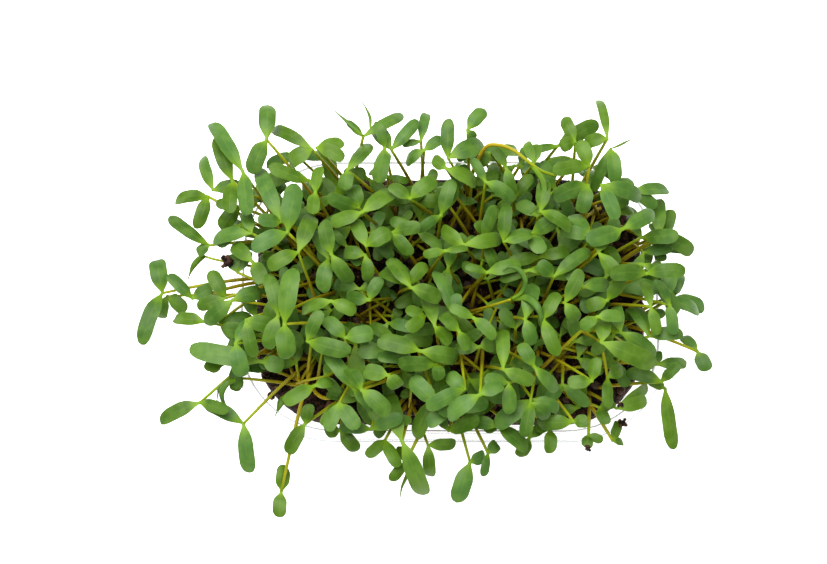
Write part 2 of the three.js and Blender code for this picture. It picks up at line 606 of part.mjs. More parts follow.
// A stem: three-sided, a little slimmer towards the crown, with its head sunk in the pair of leaves.
function stem(seedling) {
  const rings = Array.from({ length: STEM_STEPS + 1 }, (_, step) => {
    const share = step / STEM_STEPS;
    const radius = THREE.MathUtils.lerp(STEM_FOOT_RADIUS, STEM_HEAD_RADIUS, share);
    const { at, side, front } = stemFrame(seedling, share);
    return [0, 1, 2].map((corner) => {
      const angle = (TAU * corner) / 3;
      const out = side.clone().multiplyScalar(Math.cos(angle)).addScaledVector(front, Math.sin(angle));
      return at.clone().addScaledVector(out, radius);
    });
  });
  rings.at(-1).forEach((point) => (point.z -= CROWN_THICK / 4));
  return loft(rings);
}

// The husk lies in the top of the mix, and its root tapers down into the hole below it.
function huskAndRoot(spot) {
  const profile = [
    [0, SEED_Z - ROOT_LENGTH],
    [HUSK_RADIUS, SEED_Z],
    [0, SEED_Z + 0.9 * HUSK_RADIUS],
  ];
  const points = profile.map(([radius, height]) => new THREE.Vector2(radius, height));
  const turned = new THREE.LatheGeometry(points, HUSK_SIDES);
  turned.rotateX(Math.PI / 2);
  return turned.translate(spot.x, spot.y, 0);
}

// Points on a seedling with the room that each one needs.
function probes(seedling) {
  const [a, b, c, d] = stemPoints(seedling);
  const steps = Math.ceil((a.distanceTo(b) + b.distanceTo(c) + c.distanceTo(d)) / PROBE_STEP);
  const found = [];
  for (let i = 1; i < steps; i++) {
    found.push({ at: stemFrame(seedling, i / steps).at, room: STEM_ROOM });
  }
  for (const leaf of seedling.leaves) {
    const stations = Math.ceil(leaf.long / PROBE_STEP);
    for (let i = 1; i <= stations; i++) {
      const { at, side } = leafFrame(seedling, leaf, i / stations);
      const half = (leaf.wide / 2) * bladeWidth(Math.min(i / stations, PROBE_LAST));
      for (const offset of PROBES_ACROSS) {
        const place = at.clone().addScaledVector(side, offset * half);
        found.push({ at: place, room: BLADE_ROOM, keepsClear: seedling.byChance });
      }
    }
  }
  return found;
}

// True if a point would touch the tub, the mix or the surface that the tub stands on, or would lie too high or
// over an opening that has to stay clear.
function fouls({ at, room, keepsClear }, spot) {
  if (at.z < room || at.z > HIGHEST) return true;
  if (keepsClear && hidesOpening(at)) return true;
  const beyond = beyondRim(at.x, at.y);
  const fromSeed = Math.hypot(at.x - spot.x, at.y - spot.y);
  const overMix = beyond < -FLANGE_REACH;
  if (overMix && fromSeed > HUSK_RADIUS && at.z < MIX_TOP + MIX_CRUMB + ABOVE_MIX + room) return true;
  const inWall = beyond < room && beyond > -(LEDGE_INSET + room);
  return inWall && at.z < TUB_HEIGHT + room;
}

// Grown seedlings' points, kept by the cell that each lies in.
const cells = new Map();
const cellKey = (x, y, z) => `${x},${y},${z}`;

// True if a point would come too near another seedling, but for the foot of one from the same husk.
function crosses(probe, spot) {
  const [x, y, z] = probe.at.toArray().map((v) => Math.floor(v / PROBE_CELL));
  const young = probe.at.z < MIX_TOP + SHARED_ROOT_HEIGHT;
  for (let i = 0; i < 27; i++) {
    const key = cellKey(x + (i % 3) - 1, y + (Math.floor(i / 3) % 3) - 1, z + Math.floor(i / 9) - 1);
    for (const other of cells.get(key) ?? []) {
      const sameRoot = other.spot === spot && young;
      if (!sameRoot && probe.at.distanceTo(other.at) < probe.room + other.room) return true;
    }
  }
  return false;
}

// Keeps a seedling, with its points.
function settle(seedling) {
  for (const { at, room } of probes(seedling)) {
    const key = cellKey(...at.toArray().map((v) => Math.floor(v / PROBE_CELL)));
    if (!cells.has(key)) cells.set(key, []);
    cells.get(key).push({ at, room, spot: seedling.spot });
  }
  seedling.spot.seedlings.push(seedling);
}

// Grows the first attempt at a seedling that crosses nothing, if one of them does.
function grow(spot, draw) {
  for (let attempt = 0; attempt < MOST_TRIES; attempt++) {
    const seedling = draw(attempt);
    if (probes(seedling).every((probe) => !fouls(probe, spot) && !crosses(probe, spot))) {
      settle(seedling);
      return true;
    }
  }
  return false;
}

// Grows a seedling that the photograph shows from the nearest of the clusters that have room for it.
function growSeen(sprig) {
  const above = placeAt(sprig.across, sprig.down, sprig.height);
  const distance = (spot) => Math.hypot(spot.x - BED_PULL * above.x, spot.y - BED_PULL * above.y);
  const open = spots.filter((spot) => spot.seedlings.length < SEEDLINGS_PER_CLUSTER);
  open.sort((a, b) => distance(a) - distance(b));
  open.slice(0, NEAREST_TRIED).some((spot) => grow(spot, (attempt) => seenSeedling(spot, sprig, attempt)));
}

const spots = seedSpots();
SEEN.forEach(growSeen);
for (let member = 0; member < SEEDLINGS_PER_CLUSTER; member++) {
  for (const spot of spots) {
    if (spot.seedlings.length <= member) grow(spot, (attempt) => chanceSeedling(spot, attempt));
  }
}

// The plain hole in the mix that a husk and its root stand in.
function seedHole(spot) {
  const radius = HUSK_RADIUS + HOLE_CLEARANCE;
  const height = ROOT_LENGTH + 6;
  const hole = new THREE.CylinderGeometry(radius, radius, height, HUSK_SIDES);
  hole.rotateX(Math.PI / 2);
  return hole.translate(spot.x, spot.y, SEED_Z - ROOT_LENGTH - 1 + height / 2);
}

const CLEAR_PLASTIC = new THREE.MeshStandardMaterial({
  color: 0xe9eef0,
  roughness: 0.08,
  metalness: 0,
  transparent: true,
  opacity: 0.3,
});
const MIX_BROWN = new THREE.MeshStandardMaterial({ color: 0x2a1a12, roughness: 0.95, metalness: 0 });
const CHARD_GREEN = new THREE.MeshStandardMaterial({ color: 0x6c9a48, roughness: 0.5, metalness: 0 });

const plant = new THREE.Group();

function add(name, geometry, material) {
  const mesh = new THREE.Mesh(geometry, material);
  mesh.name = name;
  plant.add(mesh);
}

const holes = wasm.Manifold.union(spots.map((spot) => solidOf(seedHole(spot))));
add("tub", tub(), CLEAR_PLASTIC);
add("growing_mix", geometryOf(solidOf(growingMix()).subtract(holes)), MIX_BROWN);
for (const spot of spots) {
  const pieces = spot.seedlings.flatMap((seedling) => [stem(seedling), leafPair(seedling)]);
  const joined = wasm.Manifold.union([huskAndRoot(spot), ...pieces].map(solidOf));
  const cluster = joined.asOriginal().simplify(SHORTEST_EDGE);
  const number = String(spot.index + 1).padStart(2, "0");
  add(`seedlings_${number}`, geometryOf(cluster), CHARD_GREEN);
}

export default plant;
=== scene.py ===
"""Potted yellow chard microgreens, dressed for rendering.

A clear tub with rounded corners holds a dark growing mix. Clusters of seedlings stand in it, each on a corky
husk. Between them are more seedlings, a few bent stems and curled leaves, and clods that they have caught.
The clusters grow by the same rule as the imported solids, so each finer cluster lies where its own solid is.
Lengths are in millimetres until a mesh is made, and +Z is up.
"""

import dataclasses
import functools
import math

import bpy
import numpy as np
from bpy.props import FloatProperty, FloatVectorProperty, IntProperty, PointerProperty
from mathutils import Matrix, Vector, noise


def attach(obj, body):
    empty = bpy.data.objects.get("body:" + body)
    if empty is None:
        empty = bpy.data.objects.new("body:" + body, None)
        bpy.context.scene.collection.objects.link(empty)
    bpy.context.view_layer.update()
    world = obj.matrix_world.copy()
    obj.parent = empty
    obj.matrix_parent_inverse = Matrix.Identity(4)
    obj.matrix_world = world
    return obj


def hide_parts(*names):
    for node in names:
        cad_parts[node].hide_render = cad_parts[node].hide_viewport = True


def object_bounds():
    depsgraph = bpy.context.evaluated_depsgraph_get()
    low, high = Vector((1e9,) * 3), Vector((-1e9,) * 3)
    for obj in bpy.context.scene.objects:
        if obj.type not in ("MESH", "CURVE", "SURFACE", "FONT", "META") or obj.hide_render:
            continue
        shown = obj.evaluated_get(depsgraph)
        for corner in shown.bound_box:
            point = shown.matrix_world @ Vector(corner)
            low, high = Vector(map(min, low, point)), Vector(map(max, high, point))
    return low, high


bl_info = {
    "name": "Potted yellow chard microgreens",
    "version": (1, 0, 0),
    "blender": (4, 5, 0),
    "location": "3D View > Sidebar > Chard",
    "description": "Builds a clear tub of yellow chard seedlings round its packed solids",
    "category": "Object",
}

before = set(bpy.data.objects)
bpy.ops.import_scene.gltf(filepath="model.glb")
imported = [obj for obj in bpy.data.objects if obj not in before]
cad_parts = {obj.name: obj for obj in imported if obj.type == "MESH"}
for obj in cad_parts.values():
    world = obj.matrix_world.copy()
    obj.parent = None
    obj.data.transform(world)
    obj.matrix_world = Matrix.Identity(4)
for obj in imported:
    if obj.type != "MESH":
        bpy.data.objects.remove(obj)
CAD_BOX = [list(corner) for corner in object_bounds()]

MM = 0.001
TAU = 2 * math.pi
SEED_MODULUS = 2**31 - 1
SEED_FACTOR = 48271

# The tub's sizes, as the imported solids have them
RIM_WIDTH = 182
RIM_DEPTH = 124
RIM_CORNER = 44
TUB_HEIGHT = 48
FLANGE_REACH = 5
LIP_DROP = 3
LID_SEAT_DEPTH = 4.6
LID_SEAT_STEP = 1.4
WALL_THICK = 1
WALL_FOOT = 3.2
SMOOTHED_UNDER = math.radians(50)
WALL_DRAFT = math.tan(math.radians(10))
LEDGE_INSET = FLANGE_REACH + LID_SEAT_STEP
LEDGE_HEIGHT = TUB_HEIGHT - LID_SEAT_DEPTH
MIX_TOP = 42
MIX_CRUMB = 1
ABOVE_MIX = 0.6

# Seeds and stems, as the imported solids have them
CLUSTER_COUNT = 53
SEEDLINGS_PER_CLUSTER = 3
BED_HALF_WIDTH = 74
BED_HALF_DEPTH = 46.5
HUSK_RADIUS = 2.8
ROOT_LENGTH = 13
SEED_Z = MIX_TOP - 0.4
STEM_SPREAD = 1.4

# A stem's line: where its two inner points lie, as shares of the way from its foot and back from its crown,
# and how far they are above the foot and below the crown, as shares of its height
STEM_LOW_AT = 0.14
STEM_HIGH_AT = 0.34
STEM_LIFT = 0.42
STEM_SAG = 0.26
SLANT_FROM = 12
SLANT_LESS_SAG = 0.15

# A blade's outline: full from the first share of its length, and rounding off from the second
FULL_FROM = 0.56
TIP_FROM = 0.62
TIP_SPAN = 0.39
FILL_OUT_POWER = 1.15
LENGTH_POWER = 1.4
LEAF_FITS = 3
ROLLED_BY = 4

# Room that a point on a seedling keeps round itself, so that no two seedlings cross
STEM_ROOM = 1.05
BLADE_ROOM = 1.3
PROBE_STEP = 1.9
PROBE_LAST = 0.94
PROBES_ACROSS = np.array([-0.85, 0, 0.85])
PROBE_CELL = 3
SHARED_ROOT_HEIGHT = 9
MOST_TRIES = 120
NUDGE_MOST = 6
HIGHEST = 94
BED_PULL = 0.86
NEAREST_TRIED = 4
BOUNDS_POWER = 2.8
BELOW_SOLIDS_TOP = 1


@dataclasses.dataclass
class Habit:
    """What chance draws for a seedling: the least, and how much more there may be.

    closeness is the share of its room that it keeps, and within the middle and half size of its bounds. Above
    the height clear_above its leaves hide no opening.
    """

    stem_height: tuple = (27, 21)
    shorter_at_edge: float = 7
    lean_at_edge: tuple = (8, 18)
    lean_any_way: tuple = (4, 9)
    blade_length: tuple = (11.5, 9.5)
    blade_shorter: float = 0.35
    blade_width_share: tuple = (0.31, 0.07)
    blade_width_most: float = 6.6
    blade_rise: tuple = (5, 45)
    blade_droop: tuple = (25, 60)
    blade_roll: tuple = (-0.45, 0.9)
    pair_turn: tuple = (math.pi - 0.6, 1.2)
    closeness: float = 1
    within: tuple = ()
    clear_above: float = 0


CLUSTER_HABIT = Habit()
SEEN_RISE = (4, 38)
SEEN_DROOP = (28, 52)
BETWEEN_HABIT = Habit(
    stem_height=(10, 27),
    shorter_at_edge=8,
    lean_at_edge=(6, 28),
    lean_any_way=(3, 17),
    blade_length=(12.5, 10),
    blade_shorter=0.3,
    blade_width_share=(0.34, 0.08),
    blade_width_most=6.8,
    pair_turn=(math.pi - 1.3, 2.6),
    closeness=0.58,
    within=(-5, -1, 103, 63),
    clear_above=60,
)

# How the photograph, 827 pixels wide and 564 high, was taken: the pixel of the rim's middle, the focal length
# in pixels, how far the camera stood from the rim's middle and how steeply it looked down
PHOTO_WIDTH = 827
PHOTO_HEIGHT = 564
PHOTO_ACROSS = 448.9
PHOTO_DOWN = 293.4
PHOTO_FOCAL = 1379.3
PHOTO_DISTANCE = 575
PHOTO_TILT = math.radians(77)


@dataclasses.dataclass
class Tip:
    """A leaf's tip as the photograph shows it: its pixel, and the leaf's width."""

    across: float
    down: float
    wide: float


@dataclasses.dataclass
class Seen:
    """A seedling that the photograph shows: the pixel of its crown, the crown's height, its leaves' tips."""

    across: float
    down: float
    height: float
    first: Tip
    second: Tip


@dataclasses.dataclass
class Opening:
    """A place where the photograph shows what lies below the leaves: its middle's pixel and its radius."""

    across: float
    down: float
    radius: float


SEEN = (
    Seen(242, 171, 80, Tip(208, 119, 6.4), Tip(249, 215, 6.4)),
    Seen(266, 139, 84, Tip(269, 101, 6.4), Tip(248, 173, 6.4)),
    Seen(312, 149, 82, Tip(272, 129, 4.8), Tip(287, 163, 6.6)),
    Seen(316, 147, 87, Tip(344, 140, 5.6), Tip(345, 156, 5)),
    Seen(363, 136, 84, Tip(406, 119, 4.6), Tip(346, 121, 3.2)),
    Seen(392, 147, 84, Tip(420, 121, 4.8), Tip(375, 131, 6.2)),
    Seen(347, 170, 85, Tip(373, 145, 6), Tip(345, 190, 5.6)),
    Seen(424, 150, 83, Tip(404, 161, 5.4), Tip(443, 138, 4.8)),
    Seen(421, 141, 78, Tip(425, 110, 4), Tip(402, 146, 3)),
    Seen(448, 158, 86, Tip(445, 118, 5), Tip(485, 145, 6.8)),
    Seen(467, 130, 82, Tip(484, 107, 5.4), Tip(474, 141, 4.2)),
    Seen(487, 149, 81, Tip(522, 156, 5.4), Tip(478, 166, 5)),
    Seen(532, 160, 78, Tip(524, 143, 3.8), Tip(536, 144, 4)),
    Seen(575, 142, 84, Tip(561, 117, 4.8), Tip(559, 146, 5.2)),
    Seen(589, 166, 86, Tip(579, 141, 5.4), Tip(552, 172, 5.2)),
    Seen(607, 139, 84, Tip(599, 99, 3.6), Tip(583, 143, 5)),
    Seen(610, 149, 79, Tip(617, 183, 5.4), Tip(592, 190, 4.6)),
    Seen(633, 192, 74, Tip(667, 190, 6), Tip(656, 207, 4.8)),
    Seen(658, 236, 68, Tip(657, 199, 5.4), Tip(693, 252, 5.8)),
    Seen(662, 237, 63, Tip(673, 210, 5.2), Tip(649, 224, 4.2)),
    Seen(656, 247, 60, Tip(688, 249, 4.8), Tip(660, 262, 4.6)),
    Seen(641, 264, 72, Tip(622, 277, 5.2), Tip(665, 276, 4.6)),
    Seen(662, 299, 62, Tip(672, 267, 6.4), Tip(700, 311, 5.8)),
    Seen(671, 299, 57, Tip(703, 307, 6), Tip(683, 271, 5)),
    Seen(696, 351, 52, Tip(705, 371, 5.6), Tip(681, 335, 4.4)),
    Seen(648, 336, 72, Tip(633, 303, 5.8), Tip(681, 330, 5)),
    Seen(656, 364, 60, Tip(685, 364, 4.8), Tip(655, 351, 4.4)),
    Seen(664, 388, 50, Tip(668, 450, 6.2), Tip(648, 379, 4.4)),
    Seen(616, 408, 62, Tip(646, 402, 5), Tip(647, 389, 4.2)),
    Seen(612, 440, 52, Tip(620, 421, 4.2), Tip(622, 441, 3.4)),
    Seen(588, 434, 60, Tip(585, 447, 4.2), Tip(602, 441, 3.4)),
    Seen(550, 429, 64, Tip(551, 453, 4.8), Tip(535, 424, 5.2)),
    Seen(531, 434, 60, Tip(521, 458, 5), Tip(546, 424, 4.6)),
    Seen(498, 426, 70, Tip(528, 446, 6), Tip(468, 420, 5)),
    Seen(470, 462, 54, Tip(457, 503, 6.8), Tip(486, 456, 4.8)),
    Seen(488, 453, 56, Tip(484, 477, 3.4), Tip(498, 443, 4.6)),
    Seen(428, 445, 58, Tip(431, 478, 4.8), Tip(457, 445, 4.6)),
    Seen(402, 441, 68, Tip(386, 393, 7), Tip(425, 496, 7)),
    Seen(385, 440, 60, Tip(368, 458, 4.4), Tip(397, 468, 4.8)),
    Seen(410, 462, 55, Tip(392, 482, 4.2), Tip(401, 446, 4)),
    Seen(340, 430, 62, Tip(357, 453, 5.2), Tip(325, 433, 5)),
    Seen(305, 424, 60, Tip(285, 453, 5.4), Tip(308, 404, 4.8)),
    Seen(281, 492, 42, Tip(287, 467, 5.6), Tip(278, 518, 5.2)),
    Seen(243, 424, 52, Tip(251, 474, 6.4), Tip(206, 402, 5.6)),
    Seen(199, 403, 54, Tip(158, 419, 5.8), Tip(228, 411, 4.8)),
    Seen(262, 362, 66, Tip(187, 353, 7.4), Tip(284, 367, 6)),
    Seen(232, 366, 58, Tip(238, 389, 4.8), Tip(266, 369, 4.8)),
    Seen(161, 293, 54, Tip(159, 257, 7), Tip(138, 344, 6.2)),
    Seen(191, 299, 58, Tip(168, 274, 4.8), Tip(212, 289, 5)),
    Seen(204, 322, 62, Tip(174, 319, 5.6), Tip(226, 310, 5)),
    Seen(166, 296, 50, Tip(186, 311, 5.8), Tip(157, 320, 5)),
    Seen(219, 321, 58, Tip(246, 347, 5), Tip(252, 314, 6)),
    Seen(232, 300, 72, Tip(206, 325, 6), Tip(262, 290, 5.6)),
    Seen(225, 298, 66, Tip(209, 270, 5.4), Tip(196, 307, 5)),
    Seen(208, 245, 62, Tip(164, 220, 5.4), Tip(196, 254, 4.6)),
    Seen(207, 196, 68, Tip(174, 198, 6), Tip(200, 229, 5.2)),
    Seen(211, 189, 71, Tip(198, 155, 5.2), Tip(240, 183, 5)),
    Seen(232, 181, 76, Tip(212, 137, 6), Tip(226, 212, 5.6)),
    Seen(251, 233, 77, Tip(211, 236, 5.6), Tip(246, 212, 4.8)),
    Seen(240, 208, 70, Tip(218, 229, 6), Tip(214, 204, 4.6)),
    Seen(252, 262, 77, Tip(232, 244, 5.4), Tip(265, 282, 5.8)),
    Seen(236, 272, 66, Tip(230, 254, 5), Tip(248, 250, 4.4)),
    Seen(281, 222, 85, Tip(258, 170, 6), Tip(257, 220, 5)),
    Seen(309, 180, 80, Tip(267, 170, 5.8), Tip(322, 190, 5)),
    Seen(249, 318, 81, Tip(273, 328, 6), Tip(251, 359, 4.8)),
    Seen(287, 232, 87, Tip(297, 184, 7), Tip(250, 247, 6.2)),
    Seen(292, 249, 82, Tip(316, 214, 6), Tip(267, 267, 5.4)),
    Seen(331, 254, 88, Tip(321, 221, 5.6), Tip(348, 284, 5.4)),
    Seen(329, 259, 83, Tip(319, 292, 5.8), Tip(313, 231, 4.8)),
    Seen(362, 212, 88, Tip(329, 225, 5.8), Tip(396, 189, 6.4)),
    Seen(361, 205, 81, Tip(353, 183, 5.8), Tip(326, 201, 5.2)),
    Seen(315, 192, 85, Tip(317, 167, 4.8), Tip(311, 214, 4.8)),
    Seen(366, 246, 86, Tip(354, 219, 5), Tip(391, 230, 6)),
    Seen(365, 255, 81, Tip(342, 251, 5), Tip(371, 284, 4.8)),
    Seen(322, 268, 79, Tip(296, 265, 4.8), Tip(302, 297, 5.4)),
    Seen(284, 324, 88, Tip(291, 266, 7.2), Tip(288, 360, 6.8)),
    Seen(276, 314, 83, Tip(272, 272, 5.2), Tip(266, 350, 5.6)),
    Seen(331, 301, 86, Tip(301, 310, 5.2), Tip(357, 312, 5)),
    Seen(369, 300, 82, Tip(346, 299, 5), Tip(378, 276, 4.6)),
    Seen(393, 232, 85, Tip(421, 225, 5), Tip(409, 257, 5)),
    Seen(411, 197, 86, Tip(435, 178, 5.8), Tip(391, 183, 5)),
    Seen(424, 202, 83, Tip(397, 205, 4.8), Tip(438, 213, 5)),
    Seen(450, 207, 79, Tip(455, 180, 4.8), Tip(437, 186, 4.4)),
    Seen(450, 166, 83, Tip(478, 183, 6), Tip(432, 160, 4.6)),
    Seen(464, 245, 86, Tip(503, 243, 5.4), Tip(438, 232, 5.4)),
    Seen(485, 239, 82, Tip(494, 203, 5), Tip(500, 277, 5)),
    Seen(503, 241, 87, Tip(503, 204, 5), Tip(530, 231, 6)),
    Seen(479, 252, 78, Tip(456, 268, 5.2), Tip(470, 224, 4.4)),
    Seen(531, 234, 83, Tip(562, 218, 5.8), Tip(541, 254, 5.6)),
    Seen(541, 213, 88, Tip(573, 227, 5.2), Tip(544, 178, 5.4)),
    Seen(537, 216, 80, Tip(519, 202, 5.4), Tip(556, 198, 5)),
    Seen(411, 288, 90, Tip(443, 297, 5.6), Tip(389, 257, 5.8)),
    Seen(408, 285, 85, Tip(384, 270, 5.8), Tip(425, 262, 4.8)),
    Seen(456, 318, 83, Tip(454, 293, 4.6), Tip(441, 268, 5.2)),
    Seen(525, 319, 84, Tip(534, 283, 5.8), Tip(534, 344, 5.2)),
    Seen(543, 319, 86, Tip(557, 291, 5.2), Tip(554, 357, 5)),
    Seen(586, 185, 84, Tip(551, 194, 6), Tip(581, 214, 5.4)),
    Seen(601, 185, 88, Tip(617, 220, 5.4), Tip(641, 199, 5.8)),
    Seen(622, 229, 85, Tip(655, 216, 5.8), Tip(588, 245, 6.6)),
    Seen(590, 237, 82, Tip(571, 215, 5.4), Tip(560, 233, 5)),
    Seen(554, 277, 85, Tip(588, 248, 4.8), Tip(538, 262, 5)),
    Seen(592, 256, 84, Tip(621, 285, 5.2), Tip(600, 240, 4.8)),
    Seen(562, 300, 87, Tip(583, 271, 5), Tip(578, 323, 5.2)),
    Seen(583, 287, 81, Tip(609, 284, 5), Tip(563, 269, 5)),
    Seen(607, 300, 78, Tip(622, 279, 5), Tip(585, 308, 5)),
    Seen(307, 341, 87, Tip(318, 309, 4.8), Tip(349, 357, 6.2)),
    Seen(345, 338, 84, Tip(374, 332, 6), Tip(326, 317, 5.4)),
    Seen(354, 389, 83, Tip(329, 350, 5.4), Tip(375, 408, 5.2)),
    Seen(360, 393, 87, Tip(350, 368, 5.4), Tip(391, 412, 6)),
    Seen(388, 375, 86, Tip(363, 371, 6.2), Tip(399, 389, 5.4)),
    Seen(314, 386, 80, Tip(284, 405, 5.2), Tip(334, 380, 4.8)),
    Seen(339, 403, 77, Tip(326, 431, 5.2), Tip(358, 429, 5.6)),
    Seen(420, 351, 89, Tip(379, 336, 6.4), Tip(461, 361, 6)),
    Seen(413, 358, 82, Tip(378, 352, 5.4), Tip(434, 364, 5.4)),
    Seen(435, 326, 86, Tip(427, 297, 5.4), Tip(452, 343, 5.6)),
    Seen(425, 316, 81, Tip(406, 308, 5), Tip(408, 332, 4.8)),
    Seen(459, 331, 88, Tip(440, 313, 5.6), Tip(470, 350, 4.8)),
    Seen(474, 352, 83, Tip(453, 348, 5), Tip(497, 343, 5.4)),
    Seen(503, 369, 88, Tip(502, 326, 5), Tip(534, 384, 5)),
    Seen(437, 363, 86, Tip(397, 366, 5.6), Tip(440, 380, 4.8)),
    Seen(441, 400, 83, Tip(409, 378, 6.2), Tip(452, 415, 5)),
    Seen(474, 397, 88, Tip(444, 415, 6.2), Tip(502, 382, 5.6)),
    Seen(462, 392, 83, Tip(425, 408, 5.4), Tip(446, 375, 5.4)),
    Seen(505, 384, 84, Tip(511, 413, 5.2), Tip(484, 378, 4.8)),
    Seen(537, 394, 87, Tip(514, 385, 5.4), Tip(570, 411, 6)),
    Seen(530, 402, 79, Tip(526, 437, 5), Tip(549, 418, 4.8)),
    Seen(573, 421, 70, Tip(536, 426, 5.6), Tip(588, 420, 4.8)),
    Seen(534, 366, 84, Tip(520, 342, 4.8), Tip(556, 391, 5.6)),
    Seen(482, 381, 80, Tip(488, 357, 5), Tip(461, 366, 5)),
    Seen(601, 342, 87, Tip(651, 368, 7), Tip(603, 319, 5.4)),
    Seen(591, 314, 86, Tip(621, 315, 5), Tip(579, 328, 4.8)),
    Seen(620, 332, 81, Tip(657, 355, 6), Tip(612, 306, 5)),
    Seen(590, 382, 80, Tip(594, 357, 4.8), Tip(567, 384, 4.8)),
    Seen(604, 380, 74, Tip(606, 408, 4.4), Tip(623, 368, 4.8)),
)

OPENINGS = (
    Opening(262, 214, 8),
    Opening(262, 254, 9),
    Opening(309, 245, 10),
    Opening(357, 238, 9),
    Opening(374, 216, 8),
    Opening(410, 246, 13),
    Opening(433, 269, 9),
    Opening(470, 213, 22),
    Opening(521, 216, 12),
    Opening(470, 288, 18),
    Opening(497, 304, 19),
    Opening(526, 300, 9),
    Opening(595, 214, 11),
    Opening(632, 246, 9),
    Opening(372, 306, 15),
    Opening(514, 346, 10),
    Opening(560, 360, 15),
    Opening(626, 344, 9),
    Opening(300, 385, 16),
    Opening(276, 390, 14),
    Opening(580, 396, 14),
    Opening(409, 408, 8),
    Opening(258, 350, 7),
    Opening(588, 348, 8),
    Opening(345, 308, 4),
)


@dataclasses.dataclass
class Trailing:
    """A seedling whose slanting stem shows in an opening: the pixel of its foot on the mix, and its sprig."""

    foot_across: float
    foot_down: float
    sprig: Seen


TRAILING = (
    Trailing(466, 327, Seen(540, 316, 60, Tip(556, 306, 4), Tip(548, 331, 4.2))),
    Trailing(458, 311, Seen(500, 322, 57, Tip(513, 315, 3.6), Tip(508, 334, 3.8))),
    Trailing(462, 290, Seen(503, 279, 60, Tip(518, 285, 3.8), Tip(509, 265, 3.6))),
    Trailing(472, 306, Seen(483, 262, 64, Tip(497, 256, 4.2), Tip(474, 249, 4))),
    Trailing(476, 301, Seen(502, 290, 54, Tip(513, 296, 3.4), Tip(506, 280, 3.4))),
    Trailing(446, 262, Seen(485, 234, 73, Tip(498, 228, 4.4), Tip(477, 221, 4.2))),
    Trailing(449, 272, Seen(466, 244, 68, Tip(478, 238, 4.2), Tip(458, 234, 4))),
    Trailing(452, 226, Seen(485, 190, 68, Tip(498, 184, 4.6), Tip(480, 175, 4.4))),
    Trailing(462, 223, Seen(477, 186, 64, Tip(488, 176, 4.4), Tip(467, 176, 4.4))),
    Trailing(436, 229, Seen(453, 194, 64, Tip(464, 186, 4.2), Tip(447, 181, 4.2))),
    Trailing(444, 240, Seen(466, 205, 62, Tip(476, 200, 3.6), Tip(461, 193, 3.6))),
    Trailing(522, 232, Seen(543, 210, 74, Tip(558, 201, 5), Tip(548, 194, 4.8))),
    Trailing(553, 345, Seen(602, 359, 66, Tip(619, 369, 4.6), Tip(612, 350, 4.2))),
    Trailing(566, 399, Seen(599, 407, 62, Tip(604, 424, 4.6), Tip(614, 401, 4.2))),
    Trailing(560, 372, Seen(584, 366, 58, Tip(594, 373, 4), Tip(589, 353, 4))),
    Trailing(310, 385, Seen(312, 337, 68, Tip(324, 329, 4.6), Tip(302, 328, 4.6))),
    Trailing(317, 383, Seen(322, 352, 62, Tip(333, 347, 4.2), Tip(316, 340, 4.2))),
    Trailing(303, 387, Seen(240, 380, 56, Tip(231, 371, 4.2), Tip(233, 391, 4.4))),
    Trailing(297, 384, Seen(269, 368, 60, Tip(259, 361, 4), Tip(268, 355, 3.8))),
    Trailing(357, 322, Seen(386, 300, 60, Tip(396, 292, 4), Tip(383, 287, 4))),
    Trailing(366, 318, Seen(392, 316, 56, Tip(402, 310, 3.8), Tip(401, 323, 3.8))),
    Trailing(404, 259, Seen(424, 235, 64, Tip(434, 228, 4.2), Tip(420, 223, 4.2))),
    Trailing(413, 262, Seen(431, 246, 60, Tip(442, 242, 4), Tip(428, 234, 3.8))),
    Trailing(262, 262, Seen(278, 244, 60, Tip(288, 237, 4), Tip(272, 234, 4))),
    Trailing(310, 260, Seen(318, 237, 64, Tip(328, 230, 4.2), Tip(312, 226, 4.2))),
    Trailing(263, 228, Seen(271, 203, 66, Tip(280, 194, 4.4), Tip(265, 191, 4.4))),
    Trailing(352, 248, Seen(360, 226, 62, Tip(370, 220, 4), Tip(354, 215, 4))),
    Trailing(596, 227, Seen(620, 214, 68, Tip(632, 209, 4.4), Tip(619, 201, 4.2))),
    Trailing(623, 250, Seen(654, 237, 60, Tip(665, 232, 4), Tip(662, 246, 4))),
    Trailing(575, 309, Seen(599, 300, 60, Tip(610, 295, 4), Tip(608, 307, 4))),
    Trailing(507, 352, Seen(528, 340, 58, Tip(538, 335, 4), Tip(523, 330, 4))),
)


@dataclasses.dataclass
class Bend:
    """A bent stem or a narrow curled leaf: its width, and its way as (pixel across, pixel down, height)."""

    kind: str
    wide: float
    way: tuple


